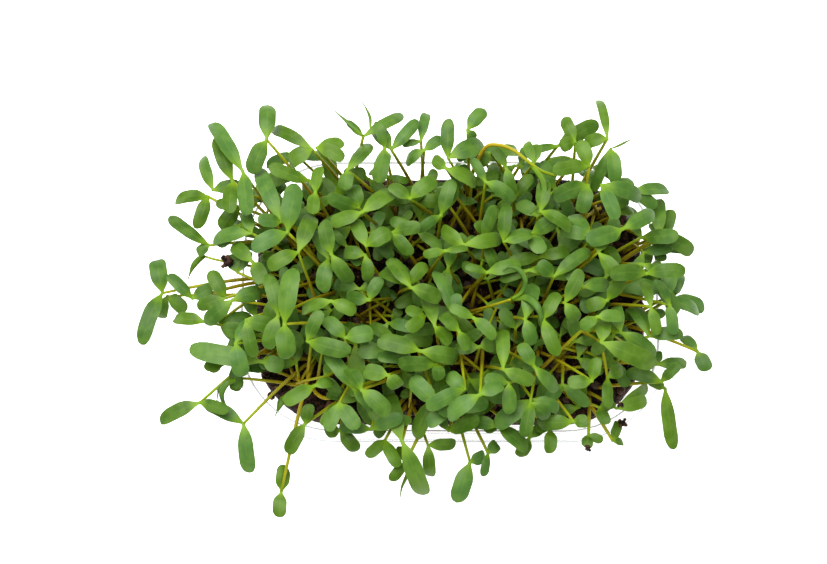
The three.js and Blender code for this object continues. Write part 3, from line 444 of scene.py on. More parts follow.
BENDS = (
    Bend("stem", 1.5, ((466, 313, 41), (472, 311, 56), (490, 306, 72), (512, 299, 82))),
    Bend(
        "leaf",
        2.6,
        (
            (511, 299, 82), (521, 292, 86), (525, 281, 89), (520, 271, 90), (511, 267, 90), (503, 271, 88),
        ),
    ),
    Bend("leaf", 3.4, ((511, 299, 82), (526, 298, 86), (536, 305, 89), (541, 316, 88), (541, 331, 83))),
    Bend(
        "stem",
        1.7,
        (
            (466, 204, 41), (470, 180, 66), (484, 149, 87), (498, 145, 91), (513, 150, 92), (526, 160, 92),
            (541, 171, 90), (556, 176, 86),
        ),
    ),
    Bend("leaf", 3, ((531, 165, 91), (541, 178, 91), (544, 190, 90), (541, 203, 89), (530, 214, 86))),
    Bend("stem", 1.3, ((275, 272, 41), (264, 269, 52), (240, 264, 60), (217, 260, 62), (203, 256, 60))),
    Bend("leaf", 2.6, ((204, 256, 60), (197, 260, 62), (191, 268, 61), (187, 279, 57))),
    Bend("leaf", 1.6, ((410, 462, 55), (407, 475, 52), (402, 487, 49), (400, 498, 46))),
    Bend("leaf", 2.8, ((240, 380, 56), (227, 383, 59), (221, 393, 57), (223, 403, 54), (230, 411, 51))),
    Bend("stem", 1.2, ((294, 399, 41), (288, 396, 46), (283, 397, 48))),
    Bend("leaf", 3, ((284, 397, 48), (280, 404, 49), (275, 416, 46))),
    Bend(
        "stem",
        1.8,
        (
            (311, 381, 41), (315, 392, 46), (324, 398, 49), (335, 396, 51), (343, 386, 50), (347, 374, 41),
        ),
    ),
    Bend("stem", 1.6, ((290, 366, 41), (293, 374, 47), (300, 382, 50), (309, 386, 48), (316, 384, 41))),
    Bend("stem", 1.5, ((598, 345, 41), (592, 352, 51), (584, 353, 57), (568, 349, 61), (555, 345, 62))),
    Bend("leaf", 3.4, ((556, 345, 62), (545, 341, 65), (537, 345, 64), (533, 355, 60))),
    Bend("stem", 1.5, ((358, 322, 41), (372, 322, 47), (383, 315, 52), (389, 302, 56))),
    Bend("leaf", 1.9, ((363, 136, 84), (352, 126, 86), (342, 117, 86), (334, 110, 84))),
    Bend("leaf", 1.3, ((370, 129, 83), (370, 118, 84), (366, 108, 85), (361, 100, 84))),
    Bend("leaf", 1.1, ((610, 149, 79), (618, 146, 81), (626, 142, 81), (633, 139, 79))),
    Bend("leaf", 1, ((230, 383, 58), (219, 387, 57), (217, 395, 55), (216, 404, 52))),
)


@dataclasses.dataclass
class Caught:
    """A clod or an empty husk that hangs on a seedling, or lies on the mix: its pixel and its radius."""

    across: float
    down: float
    radius: float
    on_mix: bool = False


CAUGHT = (
    Caught(223, 266, 2.9),
    Caught(586, 449, 1.4),
    Caught(625, 421, 2),
    Caught(619, 403, 1.5),
    Caught(376, 276, 0.8),
    Caught(409, 408, 3, on_mix=True),
    Caught(357, 238, 2.5, on_mix=True),
    Caught(523, 216, 2.6, on_mix=True),
    Caught(352, 323, 2.4, on_mix=True),
    Caught(266, 376, 2.6, on_mix=True),
    Caught(270, 396, 2.4, on_mix=True),
)

# Each clod is a handful of lumps: how many, and their size, spread and shade as shares. It lies on the mix or
# sits on what carries it, raised by a share of its radius, and prefers a carrier that lies high
CAUGHT_SEED = 4021
ON_MIX_RAISED = 0.5
ON_CARRIER_RAISED = 0.3
CARRIER_UPPER = 0.1
CAUGHT_LUMPS = 16
CAUGHT_LUMP_SIZE = (0.25, 0.22)
CAUGHT_SPREAD = 1.25
CAUGHT_SHADE = (0.4, 0.6)

# Where seedlings between the clusters leave the photograph's mix and its white ground to be seen
CLEARINGS = (
    Opening(252, 396, 20),
    Opening(268, 384, 12),
    Opening(288, 416, 14),
    Opening(318, 440, 10),
    Opening(225, 262, 10),
    Opening(208, 279, 9),
    Opening(192, 335, 8),
    Opening(583, 128, 9),
    Opening(604, 390, 13),
    Opening(622, 402, 10),
    Opening(644, 210, 9),
    Opening(594, 438, 8),
    Opening(402, 456, 8),
    Opening(374, 164, 9),
    Opening(402, 160, 9),
    Opening(431, 162, 7),
    Opening(550, 150, 8),
    Opening(292, 189, 8),
    Opening(390, 177, 6),
    Opening(414, 175, 6),
)

# Low seedlings that lean out of the openings: how many for each pixel of an opening's radius, how high their
# crowns are, and in pixels where their seeds and crowns lie and how long their leaves are
LOW_SHARE = 0.4
LOW_HEIGHT = (53, 15)
LOW_FIRST_INDEX = 1000
LOW_SEED_BACK = 0.7
LOW_FROM_WALL = 4
LOW_CROWN_OUT = (4, 10)
LOW_TIP_SPREAD = (0.5, 0.8)
LOW_TIP_LONG = (22, 14)
LOW_LEAF_WIDE = 4.6

# Seedlings between the clusters, and the pieces that they are gathered in
BETWEEN_SPOTS = 170
BETWEEN_MEMBERS = 3
BETWEEN_PIECES = 8
BETWEEN_FIRST_INDEX = 500
BETWEEN_TURNED = 0.9
BETWEEN_SPOT_GAP = 3.6
TRAILING_FIRST_INDEX = 900
TRAILING_CLOSENESS = 0.45
LONE_REACH = 0.5

# A finer leaf: where its rings are, and its section from edge to edge over the top and back below
LEAF_STATIONS = np.array([0.05, 0.12, 0.2, 0.3, 0.42, 0.54, 0.66, 0.77, 0.87, 0.94, 0.982])
SECTION_ACROSS = np.array([1, 0.5, 0, -0.5, -1, -0.5, 0, 0.5])
SECTION_UPPER = np.array([0.75, 1, 1, 1, 0.75, 0, 0, 0])
SECTION_EDGES = (0, 4)
LEAF_FULLER = 1.1
FINER_FULL_FROM = 0.42
FINER_TIP_FROM = 0.73
FINER_TIP_SPAN = 0.276
PETIOLE_HALF = 0.62
CROWN_FULLER = 1.25
CROWN_ABOVE = 0.25
CROWN_BELOW = 1.15

# How a leaf departs from a flat strap: its bow to the side, its cup, its tip's curl, its ripple, its puff
# beside the midrib and the midrib's groove. It is thicker at the petiole
LEAF_BOW = 0.11
LEAF_CUP = (-0.22, 0.4)
LEAF_CURL = (-0.15, 0.5)
LEAF_CURL_FROM = 0.5
LEAF_RIPPLE = 0.22
LEAF_WAVES = 8
LEAF_WAVE_SLANT = 2.4
LEAF_CUP_POWER = 1.6
LEAF_PUFF = 0.03
LEAF_GROOVE = 0.06
LEAF_THICK = 0.42
LEAF_THINS_OVER = 0.2
LEAF_THIN_END = 1.02
PETIOLE_THICKER = 0.55
PETIOLE_SHARE = 0.26
PETIOLE_POWER = 1.5
TIP_CURL = 1.08
MIDRIB_THICKER = 1.25
PARTNER_SHADE = 0.6

# A finer stem and root
STEM_SIDES = 6
STEM_RINGS = 10
STEM_FOOT_RADIUS = 0.85
STEM_HEAD_RADIUS = 0.56
STEM_STOUT = (0.88, 0.24)
STEM_HEAD_SUNK = 0.35
ROOT_INWARDS = 0.006
ROOT_RINGS = ((0.55, -0.5 * ROOT_LENGTH), (0.25, -0.85 * ROOT_LENGTH))
ROOT_TOP_RADIUS = 0.8
ROOT_TOP_DROP = 0.3

# Bent stems and curled leaves
BEND_STEPS = 4
BEND_STEM_TAPER = 0.25
BEND_LEAF_THICK = 0.25
BEND_LEAF_ENDS = 0.3
BEND_LEAF_STARTS = 0.06
BEND_LEAF_FILLS = 0.8
BEND_TIP_TAPER = 0.45
BEND_SHADE = 0.4
BEND_ROLL = 0.7
BEND_ROLL_WAVES = 2.4

# Husks, crumbs and fibres
HUSK_KINDS = 3
HUSK_ROUGH = 0.22
HUSK_FLAT = 0.82
HUSK_RAISED = 0.1
CLUSTER_HUSK = 0.92
BETWEEN_HUSK = 0.8
CRUMB_ROUGH = 0.3
CRUMB_FLAT = 0.8
CRUMB_SEED = 77
CRUMB_SHAPES = (11, 12, 13)
CRUMB_ROOM = 2.5
CRUMB_RAISED = 0.3
CRUMB_SIZE = (0.5, 1.3)
CRUMB_EDGE_BAND = 8
CRUMB_EDGE_LARGER = 1.35
FIBRE_ROOM = 6
FIBRE_BEND = 1.6
FIBRE_LENGTH = (4, 8)
FIBRE_RADIUS = (0.16, 0.12)
FIBRE_STEPS = 5
FIBRE_RAISED = 0.55
FIBRE_ARCH = 0.5

# The mix: its lumps as (size, slice of the noise, height), and its block's levels
MIX_LUMPS = ((11, 1.3, 1.5), (4.2, 5.1, 1.1), (1.9, 9.7, 0.6))
MIX_LUMPS_SUNK = 0.5
MIX_WALL_GAP = 0.6
MIX_SHOULDER = 35
MIX_BOTTOM = 2.4
MIX_BOTTOM_GAP = 0.4
MIX_CORNER_STEPS = 12
MIX_SIDE_GRAIN = 2.2
MIX_PULL = 0.004

# The stage, in metres
FLOOR_SIZE = 6
KEY_SIZE = 1.2
KEY_PLACE = (-0.2, 0.3, 1.2)
KEY_AIM = (0, 0, 0.05)
SENSOR_WIDTH = 36


def seeded(seed):
    """Numbers from 0 to 1 that are the same for the same seed."""
    state = 1 + seed % (SEED_MODULUS - 1)

    def following():
        nonlocal state
        state = state * SEED_FACTOR % SEED_MODULUS
        return state / SEED_MODULUS

    following()
    following()
    return following


def drawn(chance, span):
    """A value that chance draws from a span: the least, and how much more there may be."""
    return span[0] + span[1] * chance()


def wall_inset(height):
    """How far the tub's inner wall lies inside the rim's edge at a height."""
    return LEDGE_INSET + (LEDGE_HEIGHT - height) * WALL_DRAFT


def beyond_rim(x, y):
    """How far a place is outside the rim's outer edge, or inside it if negative."""
    past_x = abs(x) - (RIM_WIDTH / 2 - RIM_CORNER)
    past_y = abs(y) - (RIM_DEPTH / 2 - RIM_CORNER)
    outer = math.hypot(max(past_x, 0), max(past_y, 0))
    return outer + min(max(past_x, past_y), 0) - RIM_CORNER


@dataclasses.dataclass(eq=False)
class Spot:
    """A place where a seed lies, and the seedlings that have grown from it. fills is true for those that only
    thicken the clump."""

    index: int
    x: float
    y: float
    reach: float
    fills: bool = False
    seedlings: list = dataclasses.field(default_factory=list)


@dataclasses.dataclass
class Leaf:
    """A seed leaf: its heading, rise, droop and roll in radians, its length and its width."""

    towards: float
    rise: float
    droop: float
    long: float
    wide: float
    roll: float


@dataclasses.dataclass(eq=False)
class Seedling:
    """A stem from its foot to its crown, and the pair of leaves at the crown. Above the height clear_above
    its leaves hide no opening."""

    spot: Spot
    foot: np.ndarray
    crown: np.ndarray
    lift: float
    sag: float
    leaves: list
    clear_above: float = math.inf


def seed_spots(count, first_index=0, turned=0.0, fills=False):
    """Where seeds lie: an even spiral, drawn out from a circle towards the bed's rounded rectangle."""
    spots = []
    for index in range(count):
        turn = index * math.pi * (3 - math.sqrt(5)) + turned
        reach = math.sqrt((index + 0.5) / count)
        square = (math.cos(turn) ** 4 + math.sin(turn) ** 4) ** -0.25
        x = BED_HALF_WIDTH * reach * square * math.cos(turn)
        y = BED_HALF_DEPTH * reach * square * math.sin(turn)
        spots.append(Spot(first_index + index, x, y, reach, fills))
    return spots


def stem_foot(spot):
    """Where a cluster's next seedling starts in the husk: they are spread round its middle."""
    turn = TAU * len(spot.seedlings) / SEEDLINGS_PER_CLUSTER + spot.index
    return np.array([spot.x + STEM_SPREAD * math.cos(turn), spot.y + STEM_SPREAD * math.sin(turn), SEED_Z])


def chance_seedling(spot, attempt, habit):
    """One seedling as drawn by chance: those near the wall lean out over the rim."""
    member = len(spot.seedlings)
    chance = seeded(spot.index * 7919 + member * 1013 + attempt * 131 + 17)

    def draw(span, bias=1):
        return span[0] + span[1] * chance() ** bias

    edge = spot.reach**2
    away = math.atan2(spot.y, spot.x)
    scatter = TAU * (member + chance()) / SEEDLINGS_PER_CLUSTER + spot.index
    outwards = edge * draw(habit.lean_at_edge)
    sideways = draw(habit.lean_any_way)
    height = draw(habit.stem_height) - habit.shorter_at_edge * edge * chance()
    crown_x = spot.x + outwards * math.cos(away) + sideways * math.cos(scatter)
    crown_y = spot.y + outwards * math.sin(away) + sideways * math.sin(scatter)
    facing = TAU * chance()
    shrink = 1 - habit.blade_shorter * attempt / MOST_TRIES
    leaves = []
    for turn in (0, draw(habit.pair_turn)):
        long = draw(habit.blade_length, LENGTH_POWER) * shrink
        rise = math.radians(draw(habit.blade_rise))
        droop = math.radians(draw(habit.blade_droop))
        wide = min(long * draw(habit.blade_width_share), habit.blade_width_most)
        leaves.append(Leaf(facing + turn, rise, droop, long, wide, draw(habit.blade_roll)))
    crown = np.array([crown_x, crown_y, MIX_TOP + height])
    lift, sag = STEM_LIFT * height, STEM_SAG * height
    return Seedling(spot, stem_foot(spot), crown, lift, sag, leaves, habit.clear_above)


def place_at(across, down, height):
    """The place that a pixel of the photograph shows, at a height."""
    above = height - TUB_HEIGHT
    lower = (PHOTO_DOWN - down) / PHOTO_FOCAL
    far = PHOTO_DISTANCE - math.sin(PHOTO_TILT) * above
    y = (lower * far - math.cos(PHOTO_TILT) * above) / (math.sin(PHOTO_TILT) - lower * math.cos(PHOTO_TILT))
    x = (across - PHOTO_ACROSS) / PHOTO_FOCAL * (far + math.cos(PHOTO_TILT) * y)
    return np.array([x, y, height])


def pixel_of(x, y, z):
    """The pixel at which the photograph shows a place."""
    above = z - TUB_HEIGHT
    far = PHOTO_DISTANCE - math.sin(PHOTO_TILT) * above + math.cos(PHOTO_TILT) * y
    lower = math.sin(PHOTO_TILT) * y + math.cos(PHOTO_TILT) * above
    return PHOTO_ACROSS + PHOTO_FOCAL * x / far, PHOTO_DOWN - PHOTO_FOCAL * lower / far


def hides_opening(x, y, z, openings):
    """True if a place would hide one of these openings among the leaves."""
    across, down = pixel_of(x, y, z)
    return any(math.hypot(across - gap.across, down - gap.down) < gap.radius for gap in openings)


def leaf_to_tip(crown, end, rise, droop, roll):
    """A leaf from a crown to a tip that the photograph shows: its length follows from its rise and droop."""
    reach = (math.sin(rise) - math.sin(rise - droop)) / droop
    climb = (math.cos(rise - droop) - math.cos(rise)) / droop
    gone = place_at(end.across, end.down, crown[2]) - crown
    for _ in range(LEAF_FITS):
        height = crown[2] + climb / reach * math.hypot(gone[0], gone[1])
        gone = place_at(end.across, end.down, height) - crown
    long = math.hypot(gone[0], gone[1]) / reach
    return Leaf(math.atan2(gone[1], gone[0]), rise, droop, long, end.wide, roll)


def seen_seedling(spot, sprig, attempt):
    """A seedling that the photograph shows. Its leaves bend as chance draws, and its crown is moved a little
    further from its place with each attempt."""
    chance = seeded(sprig.across * 577 + sprig.down * 641 + attempt * 97 + 5)

    def nudge():
        return attempt * NUDGE_MOST * (2 * chance() - 1) / MOST_TRIES

    crown = place_at(sprig.across, sprig.down, sprig.height + nudge())
    crown[0] += nudge() / 2
    crown[1] += nudge() / 2
    leaves = []
    for end in (sprig.first, sprig.second):
        rise, droop = math.radians(drawn(chance, SEEN_RISE)), math.radians(drawn(chance, SEEN_DROOP))
        leaves.append(leaf_to_tip(crown, end, rise, droop, drawn(chance, CLUSTER_HABIT.blade_roll)))
    foot = stem_foot(spot)
    gone = math.hypot(crown[0] - foot[0], crown[1] - foot[1])
    height = crown[2] - foot[2]
    lift = STEM_LIFT * max(height, gone)
    sag = STEM_SAG * height - SLANT_LESS_SAG * max(0, gone - SLANT_FROM)
    return Seedling(spot, foot, crown, lift, sag, leaves)


def stem_points(seedling):
    """The four points of the stem's line, which lies in one upright plane."""
    foot, crown = seedling.foot, seedling.crown
    gone = crown - foot
    low = foot + STEM_LOW_AT * gone
    high = crown - STEM_HIGH_AT * gone
    low[2] = foot[2] + seedling.lift
    high[2] = crown[2] - seedling.sag
    return np.array([foot, low, high, crown])


def stem_frames(seedling, shares):
    """Places, sides and fronts along a stem, at shares of its way."""
    points = stem_points(seedling)
    share = np.asarray(shares, float)[:, None]
    rest = 1 - share
    middle = 2 * rest * share
    placing = np.hstack([rest**3, 1.5 * middle * rest, 1.5 * middle * share, share**3])
    heading = np.hstack([-(rest**2), rest**2 - middle, middle - share**2, share**2])
    along = heading @ points
    along /= np.linalg.norm(along, axis=1, keepdims=True)
    side = np.array([points[0][1] - points[3][1], points[3][0] - points[0][0], 0])
    side /= np.linalg.norm(side)
    return placing @ points, np.broadcast_to(side, along.shape), np.cross(along, side)


def leaf_frames(crown, leaf, shares):
    """Places, sides and tops along a leaf: it leaves the crown at its rise and bends evenly by its droop."""
    share = np.asarray(shares, float)[:, None]
    ahead = np.array([math.cos(leaf.towards), math.sin(leaf.towards), 0])
    across = np.array([-math.sin(leaf.towards), math.cos(leaf.towards), 0])
    up = np.array([0, 0, 1])
    slope = leaf.rise - leaf.droop * share
    bend = leaf.long / leaf.droop
    out = bend * (math.sin(leaf.rise) - np.sin(slope))
    lifted = bend * (np.cos(slope) - math.cos(leaf.rise))
    upper = up * np.cos(slope) - ahead * np.sin(slope)
    roll = leaf.roll * np.minimum(1, ROLLED_BY * share)
    side = across * np.cos(roll) + upper * np.sin(roll)
    top = upper * np.cos(roll) - across * np.sin(roll)
    return crown + ahead * out + up * lifted, side, top


def blade_width(share, full_from=FULL_FROM, tip_from=TIP_FROM, tip_span=TIP_SPAN):
    """A blade's width at a share of its length, as a share of the widest."""
    round_off = np.sqrt(np.maximum(0, 1 - ((share - tip_from) / tip_span) ** 2))
    fill_out = np.sin(math.pi / 2 * np.minimum(1, share / full_from)) ** FILL_OUT_POWER
    return np.where(share > tip_from, round_off, fill_out)


def probes(seedling):
    """Points on a seedling with the room that each one needs, the blades' first."""
    found = []
    for leaf in seedling.leaves:
        stations = math.ceil(leaf.long / PROBE_STEP)
        shares = np.arange(1, stations + 1) / stations
        at, side, _ = leaf_frames(seedling.crown, leaf, shares)
        half = leaf.wide / 2 * blade_width(np.minimum(shares, PROBE_LAST))
        for offset in PROBES_ACROSS:
            points = at + side * (offset * half)[:, None]
            found.extend((*point, BLADE_ROOM) for point in points.tolist())
    points = stem_points(seedling)
    length = sum(np.linalg.norm(points[i + 1] - points[i]) for i in range(3))
    steps = math.ceil(length / PROBE_STEP)
    at, _, _ = stem_frames(seedling, np.arange(1, steps) / steps)
    found.extend((*point, STEM_ROOM) for point in at.tolist())
    return found


def fouls(x, y, z, room, spot, clear_above):
    """True if a point would touch the tub, the mix or the surface that the tub stands on, or would lie too
    high or over an opening that has to stay clear."""
    if z < room or z > HIGHEST:
        return True
    if z > clear_above and room == BLADE_ROOM and hides_opening(x, y, z, OPENINGS):
        return True
    if spot.fills and room == BLADE_ROOM and hides_opening(x, y, z, CLEARINGS):
        return True
    beyond = beyond_rim(x, y)
    over_mix = beyond < -FLANGE_REACH
    above_crumbs = z - (MIX_TOP + MIX_CRUMB + ABOVE_MIX + room)
    if over_mix and math.hypot(x - spot.x, y - spot.y) > HUSK_RADIUS and above_crumbs < 0:
        return True
    return -(LEDGE_INSET + room) < beyond < room and z < TUB_HEIGHT + room


def strays(x, y, z, within):
    """True if a point is outside the rounded bounds that a habit keeps to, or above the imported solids."""
    if not within:
        return False
    middle_x, middle_y, half_width, half_depth = within
    off_x, off_y = abs(x - middle_x) / half_width, abs(y - middle_y) / half_depth
    out = off_x**BOUNDS_POWER + off_y**BOUNDS_POWER
    return out > 1 or z > CAD_BOX[1][2] / MM - BELOW_SOLIDS_TOP


NEAR_CELLS = [(i - 1, j - 1, k - 1) for i in range(3) for j in range(3) for k in range(3)]


class Bed:
    """The seedlings that have grown, with their points kept by the cell that each lies in."""

    def __init__(self):
        self.cells = {}
        self.clusters = seed_spots(CLUSTER_COUNT)
        self.between = []

    def crosses(self, x, y, z, room, spot, closeness):
        """True if a point would come too near another seedling. The feet from one husk may be near."""
        young = z < MIX_TOP + SHARED_ROOT_HEIGHT
        i, j, k = (math.floor(value / PROBE_CELL) for value in (x, y, z))
        for di, dj, dk in NEAR_CELLS:
            for other_x, other_y, other_z, other_room, owner in self.cells.get((i + di, j + dj, k + dk), ()):
                if owner is spot and young:
                    continue
                gap = (x - other_x) ** 2 + (y - other_y) ** 2 + (z - other_z) ** 2
                if gap < ((room + other_room) * closeness) ** 2:
                    return True
        return False

    def settle(self, seedling, points):
        """Keeps a seedling, with its points."""
        for x, y, z, room in points:
            cell = tuple(math.floor(value / PROBE_CELL) for value in (x, y, z))
            self.cells.setdefault(cell, []).append((x, y, z, room, seedling.spot))
        seedling.spot.seedlings.append(seedling)

    def grow(self, spot, draw, habit=CLUSTER_HABIT):
        """Grows the first attempt at a seedling that crosses nothing, if one of them does."""
        for attempt in range(MOST_TRIES):
            seedling = draw(attempt)
            points = probes(seedling)
            if any(strays(*point[:3], habit.within) for point in points):
                continue
            if any(fouls(*point, spot, seedling.clear_above) for point in points):
                continue
            if any(self.crosses(*point, spot, habit.closeness) for point in points):
                continue
            self.settle(seedling, points)
            return True
        return False

    def grow_seen(self, sprig):
        """Grows a seedling that the photograph shows from the nearest of the clusters with room for it."""
        x, y, _ = place_at(sprig.across, sprig.down, sprig.height)
        room_left = [spot for spot in self.clusters if len(spot.seedlings) < SEEDLINGS_PER_CLUSTER]
        room_left.sort(key=lambda spot: math.hypot(spot.x - BED_PULL * x, spot.y - BED_PULL * y))
        for spot in room_left[:NEAREST_TRIED]:
            if self.grow(spot, lambda attempt: seen_seedling(spot, sprig, attempt)):
                return

    def grow_clusters(self):
        """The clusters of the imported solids, first the seedlings that the photograph shows."""
        for sprig in SEEN:
            self.grow_seen(sprig)
        for member in range(SEEDLINGS_PER_CLUSTER):
            for spot in self.clusters:
                if len(spot.seedlings) <= member:
                    self.grow(spot, lambda attempt: chance_seedling(spot, attempt, CLUSTER_HABIT))

    def grow_trailing(self):
        """The seedlings whose slanting stems show in the openings."""
        habit = dataclasses.replace(CLUSTER_HABIT, closeness=TRAILING_CLOSENESS)
        for number, seen in enumerate(TRAILING):
            x, y, _ = place_at(seen.foot_across, seen.foot_down, SEED_Z)
            spot = Spot(TRAILING_FIRST_INDEX + number, x, y, LONE_REACH)
            self.between.append(spot)
            self.grow(spot, lambda attempt: seen_seedling(spot, seen.sprig, attempt), habit)

    def grow_low(self):
        """Low seedlings that lean out of the openings on all sides."""
        habit = dataclasses.replace(CLUSTER_HABIT, closeness=TRAILING_CLOSENESS)
        index = LOW_FIRST_INDEX
        for gap in OPENINGS:
            for _ in range(round(LOW_SHARE * gap.radius)):
                index += 1
                chance = seeded(index * 53 + 7)
                turn = TAU * chance()
                ahead, aside = math.cos(turn), math.sin(turn)
                back = gap.radius * LOW_SEED_BACK * chance()
                x, y, _ = place_at(gap.across - back * ahead, gap.down - back * aside, SEED_Z)
                if beyond_rim(x, y) > -wall_inset(MIX_TOP) - LOW_FROM_WALL:
                    continue
                out = gap.radius + LOW_CROWN_OUT[0] + LOW_CROWN_OUT[1] * chance()
                across, down = gap.across + out * ahead, gap.down + out * aside
                tips = []
                for spread in (drawn(chance, LOW_TIP_SPREAD), -drawn(chance, LOW_TIP_SPREAD)):
                    long = drawn(chance, LOW_TIP_LONG)
                    tip_across = across + long * math.cos(turn + spread)
                    tip_down = down + long * math.sin(turn + spread)
                    tips.append(Tip(tip_across, tip_down, LOW_LEAF_WIDE))
                sprig = Seen(round(across), round(down), drawn(chance, LOW_HEIGHT), *tips)
                spot = Spot(index, x, y, LONE_REACH, fills=True)
                self.between.append(spot)
                self.grow(spot, lambda attempt: seen_seedling(spot, sprig, attempt), habit)

    def grow_between(self):
        """More seedlings from seeds that lie between the clusters."""
        spots = []
        for spot in seed_spots(BETWEEN_SPOTS, BETWEEN_FIRST_INDEX, BETWEEN_TURNED, fills=True):
            nearest = min(math.hypot(spot.x - s.x, spot.y - s.y) for s in self.clusters)
            if nearest > BETWEEN_SPOT_GAP:
                spots.append(spot)
        self.between.extend(spots)
        for _ in range(BETWEEN_MEMBERS):
            for spot in spots:
                self.grow(spot, lambda attempt: chance_seedling(spot, attempt, BETWEEN_HABIT), BETWEEN_HABIT)


@functools.cache
def grown_bed():
    """The whole bed, grown once for all pieces."""
    bed = Bed()
    bed.grow_clusters()
    bed.grow_trailing()
    bed.grow_low()
    bed.grow_between()
    return bed


class Growth:
    """Points and faces gathered for one piece, with what its materials read at each point.

    A place is (share of the way along, share of the way across). A tone is (shade, hue, 1 above or 0 below).
    """

    def __init__(self):
        self.points = []
        self.faces = []
        self.finishes = []
        self.places = []
        self.tones = []
        self.creases = []
        self.count = 0

    def add(self, points, faces, finish, places, tones, creases=()):
        """Takes in points and faces, and the pairs of points whose edges are creases."""
        points = np.asarray(points, float)
        self.creases.extend((self.count + i, self.count + j) for i, j in creases)
        self.points.append(points)
        self.faces.extend(tuple(self.count + i for i in face) for face in faces)
        self.finishes.extend([finish] * len(faces))
        self.places.append(np.broadcast_to(places, (len(points), 2)))
        self.tones.append(np.broadcast_to(tones, (len(points), 3)))
        self.count += len(points)

    def piece(self, name, materials):
        """The finished piece, with its place in its mesh."""
        mesh = bpy.data.meshes.new(name)
        mesh.from_pydata((np.vstack(self.points) * MM).tolist(), [], self.faces)
        for material in materials:
            mesh.materials.append(material)
        mesh.polygons.foreach_set("material_index", self.finishes)
        corners = np.zeros(len(mesh.loops), int)
        mesh.loops.foreach_get("vertex_index", corners)
        along = mesh.uv_layers.new(name="along")
        along.data.foreach_set("uv", np.vstack(self.places)[corners].ravel())
        tones = mesh.color_attributes.new("tone", "FLOAT_COLOR", "POINT")
        opaque = np.ones((self.count, 1))
        tones.data.foreach_set("color", np.hstack([np.vstack(self.tones), opaque]).ravel())
        mesh.polygons.foreach_set("use_smooth", [True] * len(mesh.polygons))
        mesh.validate()
        if self.creases:
            self.crease(mesh)
        obj = bpy.data.objects.new(name, mesh)
        bpy.context.collection.objects.link(obj)
        return obj

    def crease(self, mesh):
        """Marks the creases sharp."""
        ends = np.zeros(2 * len(mesh.edges), int)
        mesh.edges.foreach_get("vertices", ends)
        low, high = np.sort(ends.reshape(-1, 2), axis=1).T
        creases = np.sort(np.array(self.creases), axis=1)
        sharp = np.isin(low * self.count + high, creases[:, 0] * self.count + creases[:, 1])
        mesh.edges.foreach_set("use_edge_sharp", sharp)


def ring_faces(rings, around, first=0):
    """Faces of a skin over rings of equally many points."""
    faces = []
    for ring in range(rings - 1):
        for i in range(around):
            a = first + ring * around + i
            b = first + ring * around + (i + 1) % around
            faces.append((a, b, b + around, a + around))
    return faces


def leaf_rings(seedling, leaf, sign, chance):
    """A leaf's rings from its petiole to its tip, and the tip's point: softly folded, with a low midrib."""
    share = LEAF_STATIONS
    at, side, top = leaf_frames(seedling.crown, leaf, share)
    bow = leaf.long * LEAF_BOW * (2 * chance() - 1) * share**2
    at = at + side * bow[:, None]
    outline = blade_width(share, FINER_FULL_FROM, FINER_TIP_FROM, FINER_TIP_SPAN)
    half = np.hypot(PETIOLE_HALF * (1 - share) ** 2, LEAF_FULLER * leaf.wide / 2 * outline)
    cup = drawn(chance, LEAF_CUP)
    curl = leaf.long * drawn(chance, LEAF_CURL) * np.maximum(0, share - LEAF_CURL_FROM) ** 2
    ripple = LEAF_RIPPLE * chance()
    phase = TAU * chance()
    across = SECTION_ACROSS[None, :]
    edges = np.abs(across)
    wave = ripple * np.sin(phase + LEAF_WAVES * share[:, None] + LEAF_WAVE_SLANT * across) * edges
    fold = cup * half[:, None] * edges**LEAF_CUP_POWER + wave
    puff = LEAF_PUFF * np.minimum(1, half / 2)[:, None] * (edges == 0.5)
    groove = -LEAF_GROOVE * (edges == 0)
    thick = LEAF_THICK + PETIOLE_THICKER * (1 - np.minimum(1, share / PETIOLE_SHARE)) ** PETIOLE_POWER
    thick = thick * np.minimum(1, (LEAF_THIN_END - share) / LEAF_THINS_OVER)
    below = thick[:, None] * (1 - SECTION_UPPER) * np.where(edges == 0, MIDRIB_THICKER, 1)
    height = fold + puff + groove - below - curl[:, None]
    offset = (sign * half[:, None] * across)[:, :, None] * side[:, None, :]
    points = at[:, None, :] + offset + height[:, :, None] * top[:, None, :]
    end, end_side, _ = leaf_frames(seedling.crown, leaf, [1.0])
    tip = end[0] + end_side[0] * bow[-1] - top[-1] * TIP_CURL * curl[-1]
    return points, tip


